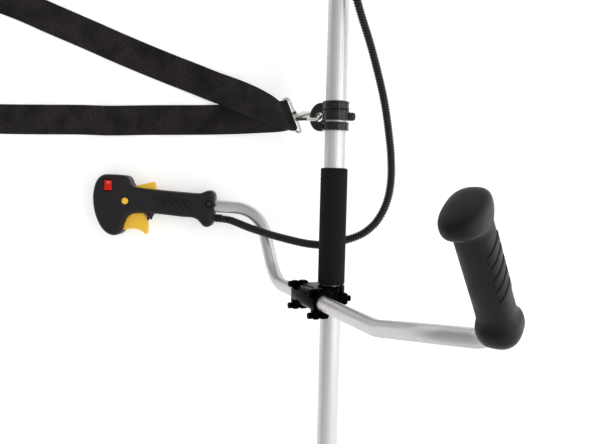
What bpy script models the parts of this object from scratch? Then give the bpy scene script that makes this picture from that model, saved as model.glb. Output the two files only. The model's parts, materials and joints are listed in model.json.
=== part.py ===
"""A petrol string trimmer with bicycle handlebars, lying on its right side on a floor.

Frames: "floor" is the world, +Y along the shaft towards the engine, +Z up.
"machine" is the trimmer's own frame: x to the user's left, y to the engine, z the machine's up.
It is rolled about the shaft, so that its right side is down. "head" is turned to the cutting
head's axis, "throttle" and "grip" are the two handles' own frames.
"""
import math

import bmesh
import bpy
from mathutils import Matrix, Vector

MM = 0.001
GAP = 0.3 * MM  # between pieces that touch

# Driving dimensions, in metres
SHAFT_HEIGHT = 0.157
ROLL = math.radians(-68.1)
TUBE_R = 0.014
TUBE_WALL = 0.0015
TUBE_FRONT = -0.905
TUBE_REAR = 0.575
BAR_R = 0.0095
BAR_WALL = 0.0015
HEAD_Y = -0.938
HEAD_TILT = math.radians(-30)
WEB_WIDTH = 0.047
WEB_THICK = 0.002

ORIGIN = Vector((0, 0, 0))
X = Vector((1, 0, 0))
Y = Vector((0, 1, 0))
Z = Vector((0, 0, 1))

# Handlebar: corner points of the bent tube and the bend radii at the inner ones
BAR_CORNERS = [
    (-0.2280, 0.1302, 0.0182),
    (-0.1079, 0.1239, 0.0281),
    (-0.0798, 0.0156, 0.0558),
    (0.0393, 0.0156, 0.3519),
    (0.0791, 0.0303, 0.4316),
    (0.1360, 0.0355, 0.4755),
    (0.0904, 0.1358, 0.5283),
]
BAR_BENDS = [0.0536, 0.045, 0.050, 0.0993, 0.030]
BAR_MIDDLE = (0.0, 0.0156, 0.03627)  # on the machine frame's axes

# The throttle cable's route, from the throttle handle to the carburettor
CABLE_R = 0.006
CABLE_STEP = 0.030
CABLE_ROUTE = [
    (-0.1655, 0.1070, 0.0185),
    (-0.1533, 0.1055, 0.0230),
    (-0.1370, 0.1008, 0.0350),
    (-0.1200, 0.0960, 0.0490),
    (-0.1030, 0.0920, 0.0600),
    (-0.0868, 0.0880, 0.0680),
    (-0.0709, 0.0848, 0.0760),
    (-0.0555, 0.0822, 0.0855),
    (-0.0403, 0.0800, 0.0950),
    (-0.0254, 0.0790, 0.1045),
    (-0.0110, 0.0796, 0.1130),
    (0.0050, 0.0830, 0.1210),
    (0.0206, 0.0888, 0.1280),
    (0.0319, 0.0930, 0.1320),
    (0.0447, 0.0999, 0.1360),
    (0.0570, 0.1112, 0.1410),
    (0.0650, 0.1232, 0.1450),
    (0.0712, 0.1367, 0.1480),
    (0.0749, 0.1500, 0.1500),
    (0.0770, 0.1640, 0.1525),
    (0.0776, 0.1805, 0.1550),
    (0.0767, 0.1976, 0.1570),
    (0.0735, 0.2250, 0.1600),
    (0.0631, 0.2802, 0.1660),
    (0.0445, 0.3440, 0.1720),
    (0.0233, 0.4042, 0.1770),
    (0.0050, 0.4700, 0.1860),
    (-0.0080, 0.5300, 0.2010),
    (-0.0160, 0.5800, 0.2190),
    (-0.0210, 0.6200, 0.2320),
    (-0.0237, 0.6540, 0.2376),
]

MACHINE = Matrix.Translation((0, 0, SHAFT_HEIGHT)) @ Matrix.Rotation(ROLL, 4, "Y")
HEAD = MACHINE @ Matrix.Translation((0, HEAD_Y, 0)) @ Matrix.Rotation(HEAD_TILT, 4, "X")
THROTTLE = Matrix.Translation((-0.1784, 0.1274, 0)) @ Matrix.Rotation(math.radians(-2.97), 4, "Z")
PALM_TURN = math.radians(-18)  # the grip's flares, about its own axis
GRIP_AXIS = (Vector(BAR_CORNERS[-1]) - Vector(BAR_CORNERS[-2])).normalized()
GRIP = Matrix.Translation(BAR_CORNERS[-2]) @ Z.rotation_difference(GRIP_AXIS).to_matrix().to_4x4()
FRAMES = {"floor": Matrix(), "machine": MACHINE, "head": HEAD, "throttle": THROTTLE, "grip": GRIP}

for old in list(bpy.data.objects):
    bpy.data.objects.remove(old)

PARTS = bpy.data.collections.new("string_trimmer")
bpy.context.scene.collection.children.link(PARTS)


# Modelling helpers: each makes or changes one closed mesh


def temporary(mesh):
    obj = bpy.data.objects.new("temporary", mesh)
    bpy.context.scene.collection.objects.link(obj)
    return obj


def evaluated(obj):
    """The object's mesh with its modifiers, in the object's own frame; the object is removed."""
    graph = bpy.context.evaluated_depsgraph_get()
    mesh = bpy.data.meshes.new_from_object(obj.evaluated_get(graph))
    bpy.data.objects.remove(obj)
    return mesh


def finished(bm, name="shape"):
    mesh = bpy.data.meshes.new(name)
    bmesh.ops.recalc_face_normals(bm, faces=bm.faces)
    bm.to_mesh(mesh)
    bm.free()
    return mesh


def aligned(axis, at=ORIGIN):
    """The matrix that turns +Z to the axis and moves the origin to a point."""
    return Matrix.Translation(at) @ Z.rotation_difference(Vector(axis)).to_matrix().to_4x4()


def block(low, high, round_r=0.0, segments=1):
    """A box between two corners, with its edges rounded."""
    low, high = Vector(low), Vector(high)
    bm = bmesh.new()
    place = Matrix.Translation((low + high) / 2) @ Matrix.Diagonal((*(high - low), 1))
    bmesh.ops.create_cube(bm, size=1, matrix=place)
    if round_r:
        bmesh.ops.bevel(bm, geom=bm.edges[:], offset=round_r, segments=segments, affect="EDGES")
    return finished(bm)


def rod(start, end, radius, sides=12, end_radius=None):
    """A cylinder or cone between two points."""
    start, end = Vector(start), Vector(end)
    bm = bmesh.new()
    bmesh.ops.create_cone(
        bm,
        cap_ends=True,
        segments=sides,
        radius1=radius,
        radius2=radius if end_radius is None else end_radius,
        depth=(end - start).length,
        matrix=aligned(end - start, (start + end) / 2),
    )
    return finished(bm)


def turned(profile, at=ORIGIN, axis=Z, steps=20):
    """A turned body. The profile's (radius, height) points run down the outer side and,
    for a ring, back up the bore. A profile that starts and ends on the axis is a solid."""
    mesh = bpy.data.meshes.new("profile")
    edges = [(i, i + 1) for i in range(len(profile) - 1)]
    if profile[0][0] > 0:
        edges.append((len(profile) - 1, 0))
    mesh.from_pydata([(r, 0, h) for r, h in profile], edges, [])
    obj = temporary(mesh)
    screw = obj.modifiers.new("screw", "SCREW")
    screw.steps = steps
    screw.render_steps = steps
    screw.use_merge_vertices = True
    screw.merge_threshold = 0.00002
    result = evaluated(obj)
    result.transform(aligned(axis, at))
    return result


def tube(outer, inner, low, high, steps=20, at=ORIGIN, axis=Y):
    """A plain ring between two heights on an axis."""
    return turned([(outer, high), (outer, low), (inner, low), (inner, high)], at, axis, steps)


def swept(points, radius, resolution=3, cyclic=False):
    """A round bar along a list of points."""
    data = bpy.data.curves.new("route", "CURVE")
    data.dimensions = "3D"
    spline = data.splines.new("POLY")
    spline.points.add(len(points) - 1)
    for point, place in zip(spline.points, points):
        point.co = (*place, 1)
    spline.use_cyclic_u = cyclic
    data.bevel_depth = radius
    data.bevel_resolution = resolution
    data.use_fill_caps = True
    mesh = evaluated(temporary(data))
    return welded(mesh)


def welded(mesh):
    bm = bmesh.new()
    bm.from_mesh(mesh)
    bmesh.ops.remove_doubles(bm, verts=bm.verts, dist=0.00001)
    return finished(bm)


def plate(outline, low, high, chamfer_low=0.0, chamfer_high=0.0):
    """A flat outline between two heights, with its rims chamfered."""
    bm = bmesh.new()
    base = bm.faces.new([bm.verts.new((x, y, low)) for x, y in outline])
    sides = bmesh.ops.extrude_face_region(bm, geom=[base])["geom"]
    bmesh.ops.translate(bm, verts=[v for v in sides if isinstance(v, bmesh.types.BMVert)],
                        vec=(0, 0, high - low))
    for height, chamfer in ((low, chamfer_low), (high, chamfer_high)):
        if chamfer:
            rim = [e for e in bm.edges if all(abs(v.co.z - height) < GAP / 10 for v in e.verts)]
            bmesh.ops.bevel(bm, geom=rim, offset=chamfer, segments=2, profile=0.5,
                            affect="EDGES", clamp_overlap=True)
    return finished(bm)


def combined(operation, base, *tools):
    """The base joined with (UNION) or cut by (DIFFERENCE) each tool in turn."""
    for tool in tools:
        target, cutter = temporary(base), temporary(tool)
        step = target.modifiers.new("step", "BOOLEAN")
        step.operation = operation
        step.object = cutter
        step.solver = "EXACT"
        base = evaluated(target)
        bpy.data.objects.remove(cutter)
    return welded(base)


def joined(base, *tools):
    return combined("UNION", base, *tools)


def cut(base, *tools):
    return combined("DIFFERENCE", base, *tools)


def moved(mesh, matrix):
    mesh.transform(matrix)
    return mesh


def smooth_route(points, spacing):
    """Points about a given distance apart on a smooth curve through the route's own points."""
    ends = [2 * points[0] - points[1]] + points + [2 * points[-1] - points[-2]]
    result = []
    for before, here, there, after in zip(ends, ends[1:], ends[2:], ends[3:]):
        steps = max(1, round((there - here).length / spacing))
        for i in range(steps):
            t = i / steps
            result.append(0.5 * (2 * here + (there - before) * t
                                 + (2 * before - 5 * here + 4 * there - after) * t * t
                                 + (3 * here - before - 3 * there + after) * t * t * t))
    return result + [points[-1]]


def filleted(corners, bends, steps=4):
    """The centreline of a bent tube: straight runs with an arc at each inner corner."""
    corners = [Vector(c) for c in corners]
    line = [corners[0]]
    for before, corner, after, bend in zip(corners, corners[1:], corners[2:], bends):
        back = (before - corner).normalized()
        on = (after - corner).normalized()
        opening = back.angle(on)
        turn = math.pi - opening
        middle = corner + (back + on).normalized() * bend / math.sin(opening / 2)
        start = corner + back * bend * math.tan(turn / 2)
        out = (start - middle).normalized()
        for i in range(steps + 1):
            angle = turn * i / steps
            line.append(middle + bend * (out * math.cos(angle) - back * math.sin(angle)))
    return line + [corners[-1]]


def arc(centre, radius, start, end, steps):
    """Points on a circle, from one angle in degrees to another."""
    angles = [math.radians(start + (end - start) * i / steps) for i in range(steps + 1)]
    return [(centre[0] + radius * math.cos(a), centre[1] + radius * math.sin(a)) for a in angles]


# Materials and placing


def material(name, colour, roughness, metallic=0.0):
    mat = bpy.data.materials.new(name)
    mat.use_nodes = True
    shader = mat.node_tree.nodes["Principled BSDF"]
    shader.inputs["Base Color"].default_value = (*colour, 1)
    shader.inputs["Roughness"].default_value = roughness
    shader.inputs["Metallic"].default_value = metallic
    return mat


ALUMINIUM = ("aluminium", (0.62, 0.62, 0.63), 0.35, 1.0)
STEEL = ("steel", (0.45, 0.45, 0.46), 0.35, 1.0)
NICKEL = ("nickel", (0.60, 0.57, 0.53), 0.25, 1.0)
BLACK_METAL = ("black_metal", (0.02, 0.02, 0.022), 0.35, 0.6)
BLACK_PLASTIC = ("black_plastic", (0.022, 0.020, 0.024), 0.5)
YELLOW_PLASTIC = ("yellow_plastic", (0.84, 0.46, 0.04), 0.4)
RED_PLASTIC = ("red_plastic", (0.75, 0.02, 0.01), 0.35)
PALE_PLASTIC = ("pale_plastic", (0.62, 0.60, 0.52), 0.4)
RUBBER = ("rubber", (0.02, 0.02, 0.02), 0.7)
FOAM = ("foam", (0.015, 0.014, 0.015), 0.9)
WEBBING = ("webbing", (0.03, 0.025, 0.026), 0.85)
NYLON = ("nylon", (0.80, 0.30, 0.05), 0.35)

EMPTIES = {}


def make_frames():
    """An empty for the whole object, and one for each frame."""
    whole = bpy.data.objects.new("whole", None)
    PARTS.objects.link(whole)
    for name, matrix in FRAMES.items():
        empty = bpy.data.objects.new("frame_" + name, None)
        PARTS.objects.link(empty)
        empty.parent = whole
        empty.matrix_local = matrix
        EMPTIES[name] = empty
    return whole


def part(name, mesh, finish, frame, pivot=ORIGIN):
    """Names a sub-part, gives it its own material and puts its origin on its pivot."""
    pivot = Vector(pivot)
    mesh.transform(Matrix.Translation(-pivot))
    mesh.name = name
    mesh.materials.clear()
    mesh.materials.append(material(name + "_" + finish[0], *finish[1:]))
    mesh.shade_smooth()
    mesh.set_sharp_from_angle(angle=math.radians(35))
    obj = bpy.data.objects.new(name, mesh)
    PARTS.objects.link(obj)
    obj.parent = EMPTIES[frame]
    obj.location = pivot
    return obj


# Shaft


def shaft():
    wall = TUBE_R - TUBE_WALL
    part("drive_tube", tube(TUBE_R, wall, TUBE_FRONT, TUBE_REAR, 28), ALUMINIUM, "machine")
    drum = [(0.0420, 0.6240), (0.0420, 0.6050), (0.0080, 0.6010), (0.0080, 0.5860),
            (0.0030, 0.5860), (0.0030, 0.6080), (0.0390, 0.6080), (0.0390, 0.6240)]
    pinion = rod((0, -0.9180, 0), (0, -0.9238, 0), 0.0088, 16, 0.0062)
    line = joined(rod((0, -0.921, 0), (0, 0.598, 0), 0.004, 10), turned(drum, axis=Y), pinion)
    part("drive_shaft", line, STEEL, "machine")
    bush = tube(wall - GAP, 0.004 + GAP, -0.135, -0.105, 14)
    part("shaft_bush", bush, RUBBER, "machine")


def foam_sleeve():
    inner, outer, edge = TUBE_R + GAP, 0.01825, 0.0022
    low, high = 0.0305, 0.1885
    profile = [(outer - edge, high), (outer - 0.0006, high - 0.0008), (outer, high - edge),
               (outer, low + edge), (outer - 0.0006, low + 0.0008), (outer - edge, low),
               (inner, low), (inner, high)]
    part("foam_sleeve", turned(profile, axis=Y, steps=24), FOAM, "machine")


# Shaft hanger, hook and harness

HANGER_Y = 0.258
HANGER_HALF = 0.0194
EYE_TURN = math.radians(-40)  # the eye plate points left and down
EYE_OUT = Vector((-math.cos(EYE_TURN), 0, math.sin(EYE_TURN)))
EYE_RADIUS = 0.027
SHAFT_POINT = Vector((0, HANGER_Y, SHAFT_HEIGHT))
EYE_POINT = SHAFT_POINT + EYE_OUT * EYE_RADIUS
EYE_NORMAL = EYE_OUT.cross(Y)
RING_POINT = Vector((-0.0600, 0.2630, 0.1020))


def hanger():
    """Two bands with an eye plate between them, and a bolted middle band."""
    ring_r, bore = 0.0183, TUBE_R + GAP
    plate_frame = Matrix((EYE_OUT, Y, EYE_NORMAL)).transposed().to_4x4()
    plate_frame.translation = SHAFT_POINT
    centre = (0.0245, 0)
    outline = [(0.0160, -HANGER_HALF), *arc(centre, HANGER_HALF, -90, 90, 12), (0.0160, HANGER_HALF)]
    eye = cut(
        plate(outline, -0.0025, 0.0025),
        rod((EYE_RADIUS, 0, -0.01), (EYE_RADIUS, 0, 0.01), 0.0065, 14),
        rod((0, -0.0068, 0), (0, 0.0072, 0), ring_r + 2 * GAP, 24),
    )
    bands = [tube(ring_r, bore, low, high, 24, SHAFT_POINT)
             for low, high in ((-HANGER_HALF, -0.0083), (0.0082, HANGER_HALF))]
    part("hanger_eye", joined(moved(eye, plate_frame), *bands), BLACK_METAL, "floor")

    band = joined(
        tube(ring_r - GAP, bore, -0.0062, 0.0066, 24, SHAFT_POINT),
        rod(SHAFT_POINT + X * 0.0150, SHAFT_POINT + X * 0.0190, 0.0060, 14),
    )
    part("hanger_band", cut(band, rod(SHAFT_POINT + X * 0.0142, SHAFT_POINT + X * 0.03, 0.0025, 10)),
         BLACK_METAL, "floor")
    bolt = turned([(0, 0.0266), (0.0042, 0.0262), (0.0058, 0.0245), (0.0058, 0.0193),
                   (0.0022, 0.0193), (0.0022, 0.0146), (0, 0.0146)], SHAFT_POINT, X, 14)
    part("hanger_bolt", bolt, BLACK_METAL, "floor")


HOOK_AXIS = (RING_POINT - EYE_POINT).normalized()
HOOK_SIDE = (EYE_NORMAL - HOOK_AXIS * EYE_NORMAL.dot(HOOK_AXIS)).normalized()
HOOK_TWIST = math.radians(-32)
HOOK_FRAME = (Matrix.Translation(EYE_POINT)
              @ Matrix((HOOK_AXIS, HOOK_SIDE, HOOK_AXIS.cross(HOOK_SIDE))).transposed().to_4x4()
              @ Matrix.Rotation(HOOK_TWIST, 4, "X"))
HOOK_WIRE = 0.0023
HOOK_HALF = 0.0075
GATE_PIVOT = (0.0340, -HOOK_HALF, 0)


def snap_hook():
    """A flat-bodied swivel hook through the eye: x runs from the eye to the strap's ring."""
    wire = [(0.0300, 0.0066), (0.0190, HOOK_HALF), (0.0085, HOOK_HALF)]
    wire += arc((0.0058, 0), HOOK_HALF, 112, 248, 6)
    wire += [(0.0085, -HOOK_HALF), (0.0165, -HOOK_HALF)]
    route = [Vector((x, y, 0)) for x, y in wire]
    outline = [(0.0425, -0.0042), (0.0425, 0.0078), (0.0405, 0.0096), (0.0340, 0.0100),
               (0.0180, 0.0096), (0.0180, 0.0054), (0.0260, 0.0030), (0.0345, -0.0048)]
    body = plate(outline, -0.0034, 0.0034)
    stem_bore = rod((0.0355, 0, 0), (0.05, 0, 0), 0.0023, 10)
    hook = cut(joined(body, swept(route, HOOK_WIRE, 2)), stem_bore)
    part("snap_hook", moved(hook, HOOK_FRAME), NICKEL, "floor", EYE_POINT)

    lever = [(0.0172, -0.0016), (0.0172, 0.0012), (0.0300, 0.0014), (0.0345, 0.0020),
             (0.0385, 0.0016), (0.0385, -0.0016), (0.0340, -0.0038), (0.0300, -0.0030),
             (0.0240, -0.0016)]
    gate = plate([(x, y - HOOK_HALF) for x, y in lever], -0.0016, 0.0016)
    part("snap_gate", moved(gate, HOOK_FRAME), BLACK_METAL, "floor", HOOK_FRAME @ Vector(GATE_PIVOT))


RING_LEAN = Vector((0.26, -0.80, -0.54))
RING_LONG = (RING_LEAN - HOOK_AXIS * HOOK_AXIS.dot(RING_LEAN)).normalized()
RING_UP = HOOK_AXIS.cross(RING_LONG)
RING_HALF = 0.0275
RING_NEAR = 0.0470
RING_DEEP = 0.0125
RING_WIRE = 0.0019


def swivel_ring():
    """The strap's rectangular wire ring with its swivel stem."""
    near = EYE_POINT + HOOK_AXIS * RING_NEAR
    corner = 0.0055
    rectangle = (arc((RING_DEEP - corner, RING_HALF - corner), corner, 0, 90, 3)
                 + arc((corner, RING_HALF - corner), corner, 90, 180, 3)
                 + arc((corner, -RING_HALF + corner), corner, 180, 270, 3)
                 + arc((RING_DEEP - corner, -RING_HALF + corner), corner, 270, 360, 3))
    route = [near + HOOK_AXIS * x + RING_LONG * y for x, y in rectangle]
    ring = swept(route, RING_WIRE, 2, cyclic=True)
    stem = rod(EYE_POINT + HOOK_AXIS * 0.0365, near + HOOK_AXIS * 0.001, 0.0019, 10)
    collar = rod(near - HOOK_AXIS * 0.0040, near + HOOK_AXIS * 0.0008, 0.0046, 12)
    part("swivel_ring", joined(ring, collar, stem), NICKEL, "floor", EYE_POINT)


FAR_BAR = EYE_POINT + HOOK_AXIS * (RING_NEAR + RING_DEEP)  # the ring's bar in the strap


def ribbon(rungs):
    """A flat strap: each rung is (centre, direction across it)."""
    bm = bmesh.new()
    loops = []
    places = [Vector(c) for c, _ in rungs]
    for i, (centre, across) in enumerate(rungs):
        across = Vector(across).normalized()
        along = (places[min(i + 1, len(places) - 1)] - places[max(i - 1, 0)]).normalized()
        up = along.cross(across).normalized()
        if up.z < 0:
            up = -up
        centre, half = Vector(centre), across * WEB_WIDTH / 2
        corners = [centre + half + up * WEB_THICK, centre + half, centre - half,
                   centre - half + up * WEB_THICK]
        loops.append([bm.verts.new(c) for c in corners])
    for one, two in zip(loops, loops[1:]):
        for k in range(4):
            bm.faces.new((one[k], one[(k + 1) % 4], two[(k + 1) % 4], two[k]))
    bm.faces.new(loops[0])
    bm.faces.new(loops[-1])
    bmesh.ops.triangulate(bm, faces=bm.faces)
    return finished(bm)


def harness():
    """The strap leaves the ring, lies on the floor and comes back to the ring."""
    slope = Vector((-0.937, 0.350, 0))
    over = [(FAR_BAR + HOOK_AXIS * 0.002 + RING_UP * 0.0024, -RING_LONG),
            ((-0.0860, 0.2720, 0.0740), (-0.10, 0.88, 0.40)),
            ((-0.1200, 0.2880, 0.0470), (0.15, 0.93, 0.25)),
            ((-0.1550, 0.3030, 0.0230), (0.30, 0.94, 0.10)),
            ((-0.1850, 0.3145, 0.0080), (0.35, 0.937, 0)),
            ((-0.2150, 0.3260, 0.0030), (0.35, 0.937, 0)),
            ((-0.3000, 0.3577, 0.0006), (0.35, 0.937, 0)),
            ((-0.3850, 0.3918, 0.0004), (0.35, 0.937, 0)),
            ((-0.4650, 0.4238, 0.0004), (0.35, 0.937, 0)),
            ((-0.5450, 0.4525, 0.0004), (0.35, 0.937, 0)),
            ((-0.5800, 0.4622, 0.0026), (0.35, 0.937, 0)),
            ((-0.6300, 0.4809, 0.0026), (0.35, 0.937, 0)),
            ((-0.6600, 0.4921, 0.0004), (0.35, 0.937, 0)),
            ((-0.7450, 0.5239, 0.0004), (0.35, 0.937, 0))]
    part("strap_front", ribbon(over), WEBBING, "floor", EYE_POINT)
    under = [(FAR_BAR + HOOK_AXIS * 0.002 - RING_UP * 0.0044, -RING_LONG),
             ((-0.0800, 0.2640, 0.0640), (-0.15, 0.88, 0.40)),
             ((-0.1120, 0.2650, 0.0330), (-0.03, 0.97, 0.20)),
             ((-0.1450, 0.2645, 0.0120), (0.0, 1, 0.05)),
             ((-0.1780, 0.2635, 0.0030), (0, 1, 0)),
             ((-0.2100, 0.2625, 0.0004), (0, 1, 0)),
             ((-0.3400, 0.2580, 0.0004), (0, 1, 0)),
             ((-0.7450, 0.2560, 0.0004), (0, 1, 0))]
    part("strap_rear", ribbon(under), WEBBING, "floor", EYE_POINT)
    side = [((-0.7200, 0.2330, 0.0030), X), ((-0.7200, 0.2950, 0.0030), X),
            ((-0.7200, 0.4700, 0.0030), X), ((-0.7200, 0.5400, 0.0030), X)]
    part("strap_side", ribbon(side), WEBBING, "floor", EYE_POINT)
    pad = block((-0.7560, 0.2850, 0.0055), (-0.6840, 0.4800, 0.0175), 0.0045, 2)
    part("shoulder_pad", pad, WEBBING, "floor", EYE_POINT)

    across = Z.cross(slope)
    slider_frame = Matrix((slope, across, Z)).transposed().to_4x4()
    slider_frame.translation = (-0.6050, 0.4716, 0)
    half = WEB_WIDTH / 2
    frame = cut(
        block((-0.0170, -half - 0.006, 0.0006), (0.0170, half + 0.006, 0.0076), 0.0012),
        block((-0.0125, -half - 0.0012, -0.01), (0.0125, half + 0.0012, 0.02)),
    )
    bar = block((-0.0030, -half - 0.0030, 0.0052), (0.0030, half + 0.0030, 0.0076))
    slider = joined(frame, bar)
    slider = cut(slider, *[block((x - 0.004, -half - 0.0012, 0.0021), (x + 0.004, half + 0.0012, 0.0051))
                           for x in (-0.0150, 0.0150)])
    part("strap_slider", moved(slider, slider_frame), BLACK_PLASTIC, "floor", EYE_POINT)


# Handlebar, its clamp and the plain grip

CLAMP_LOW, CLAMP_HIGH = 0.0010, 0.0298
EAR_LOW, EAR_HIGH = -0.0068, 0.0330
BAR_SCREWS = (-0.0275, 0.0430)
CAP_ENDS = (-0.0225, 0.0540)
BAR_Z = BAR_MIDDLE[2]
BAR_Y = BAR_MIDDLE[1]


def bar_mesh(radius, extra=0.0, resolution=3):
    """The handlebar's shape at a given radius, with its ends moved out."""
    line = filleted(BAR_CORNERS, BAR_BENDS)
    line[0] += (line[0] - line[1]).normalized() * extra
    line[-1] += (line[-1] - line[-2]).normalized() * extra
    return swept(line, radius, resolution)


def handlebar():
    pipe = cut(bar_mesh(BAR_R), bar_mesh(BAR_R - BAR_WALL, 0.004))
    part("handlebar", pipe, ALUMINIUM, "floor")


def capscrew(at, axis, length, head_r=0.0042, head=0.005, shank_r=0.0023):
    """A socket-head screw: its head stands out along the axis from the point at its neck."""
    socket = head * 0.45
    return turned([(0, head - socket), (head_r * 0.5, head - socket), (head_r * 0.5, head),
                   (head_r * 0.9, head), (head_r, head * 0.85), (head_r, 0), (shank_r, 0),
                   (shank_r, -length), (0, -length)], at, axis, 12)


def ears(low, high, edge):
    """The lugs that the bar's screws pass through, at both ends of the clamp."""
    return [block((x - 0.0062, EAR_LOW, low), (x + 0.0062, EAR_HIGH, high), edge)
            for x in BAR_SCREWS]


def clamp():
    """Three blocks hold the shaft below and the handlebar above it, at right angles."""
    shaft_bore = rod((0, -0.05, 0), (0, 0.08, 0), TUBE_R + GAP, 28)
    bar_bore = rod((-0.08, BAR_Y, BAR_Z), (0.08, BAR_Y, BAR_Z), BAR_R + GAP, 20)
    bar_screws = [(x, y) for x in BAR_SCREWS for y in (-0.0020, 0.0282)]
    shaft_screws = [(x, 0.0140) for x in (-0.0215, 0.0215)]
    holes = [rod((x, y, -0.05), (x, y, 0.08), 0.0023 + GAP, 10) for x, y in bar_screws]
    under = [rod((x, y, -0.05), (x, y, 0.0190), 0.0023 + GAP, 10) for x, y in shaft_screws]
    edge = 0.0020

    left, right = CAP_ENDS
    cap = joined(rod((left, BAR_Y, BAR_Z), (right, BAR_Y, BAR_Z), 0.0134, 20),
                 *ears(BAR_Z + 0.0004, 0.0462, edge))
    cap = cut(cap, block((-0.06, -0.02, 0), (0.07, 0.06, BAR_Z + 0.0004)), bar_bore, *holes)
    part("clamp_bar_cap", cap, BLACK_METAL, "machine")

    saddle = joined(
        block((-0.0335, CLAMP_LOW, 0.0200), (0.0490, CLAMP_HIGH, BAR_Z - 0.0004), edge),
        *ears(0.0240, BAR_Z - 0.0004, edge),
        block((-0.0280, CLAMP_LOW, 0.0006), (0.0280, CLAMP_HIGH, 0.0240), edge),
    )
    part("clamp_saddle", cut(saddle, shaft_bore, bar_bore, *holes, *under), BLACK_METAL, "machine")

    lower = joined(block((-0.0280, 0.0060, -0.0132), (0.0280, 0.0220, -0.0002), edge),
                   rod((0, CLAMP_LOW, 0), (0, CLAMP_HIGH, 0), 0.0185, 24))
    lower = cut(lower, block((-0.05, -0.02, -0.0002), (0.05, 0.06, 0.05)), shaft_bore, *under)
    part("clamp_shaft_cap", lower, BLACK_METAL, "machine")

    for number, (x, y) in enumerate(bar_screws, start=1):
        part(f"bar_screw_{number}", capscrew((x, y, 0.0465), Z, 0.024), BLACK_METAL, "machine")
    for number, (x, y) in enumerate(shaft_screws, start=1):
        part(f"shaft_screw_{number}", capscrew((x, y, -0.0135), -Z, 0.030), BLACK_METAL, "machine")


def oval(profile, ratio, shift=0.0):
    """A turned body stretched and shifted across the palm."""
    mesh = turned(profile, steps=20)
    stretch = Matrix.Translation((0, shift, 0)) @ Matrix.Diagonal((1, ratio, 1, 1))
    mesh.transform(Matrix.Rotation(PALM_TURN, 4, "Z") @ stretch)
    return mesh


def plain_grip():
    """The left hand's grip, flared across the palm at both ends."""
    knob = [(0, 0.1526), (0.0065, 0.1523), (0.0115, 0.1513), (0.0154, 0.1493), (0.0177, 0.1460),
            (0.0184, 0.1420), (0.0183, 0.1370), (0.0175, 0.1325), (0.0150, 0.1290),
            (0.0110, 0.1265), (0, 0.1265)]
    foot = [(0, 0.0400), (0.0100, 0.0370), (0.0163, 0.0330), (0.0178, 0.0295), (0.0190, 0.0260),
            (0.0195, 0.0220), (0.0195, 0.0180), (0.0186, 0.0135), (0.0165, 0.0090),
            (0.0125, 0.0050), (0.0080, 0.0030), (0, 0.0020)]
    stem = turned([(0, 0.1420), (0.0100, 0.1420), (0.0163, 0.1360), (0.0163, 0.0120),
                   (0.0110, 0.0060), (0, 0.0060)], steps=20)
    body = joined(stem, oval(knob, 1.56, -0.004), oval(foot, 1.13))
    bore = moved(bar_mesh(BAR_R + GAP, 0.0005), GRIP.inverted())
    part("plain_grip", cut(body, bore), RUBBER, "grip")


# Throttle handle

CASE_TOP = 0.036
CASE_SPLIT = 0.018
CASE_OUTLINE = [
    (-167, 37.4), (-178, 34.5), (-186, 24), (-189.5, 4), (-186.5, -19.5), (-179, -38.5),
    (-169, -51.5), (-157, -57.2), (-147, -55.3), (-141, -48.5), (-139.3, -38.5), (-134.4, -27.3),
    (-126.5, -21.4), (-115, -20.2), (-106.2, -20.2), (-103.6, -25), (-102.2, -29.6),
    (-100.2, -29), (-98.6, -22.5), (-94, -18.4), (-76, -19.2), (-50, -20.4), (-33.5, -20),
    (-24, -24), (-16.6, -31.4), (-10.2, -33.5), (-4, -30.8), (-1.4, -24), (0, -8), (-0.2, 10),
    (-1.6, 18.8), (-6.2, 23.2), (-12.3, 23.4), (-19, 20.4), (-28, 18), (-60, 18), (-94, 18.8),
    (-122, 20.6), (-130.5, 24.6), (-134.4, 32), (-138.8, 36.5), (-147, 37.4),
]
TRIGGER_PIVOT = (-0.1330, -0.0120, CASE_SPLIT)
LOCKOUT_PIVOT = (-0.1262, 0.0150, CASE_SPLIT)
BUTTON_POINT = (-0.1382, -0.0020)
SCREW_POINT = (-0.0085, 0.0030)
SWITCH_POINT = (-0.1652, 0.0205)
SWITCH_SIZE = (0.0125, 0.0170)
CABLE_POINT = (0.0, -0.0190, CASE_SPLIT)


def flat(points):
    return [(x * MM, y * MM) for x, y in points]


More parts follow.
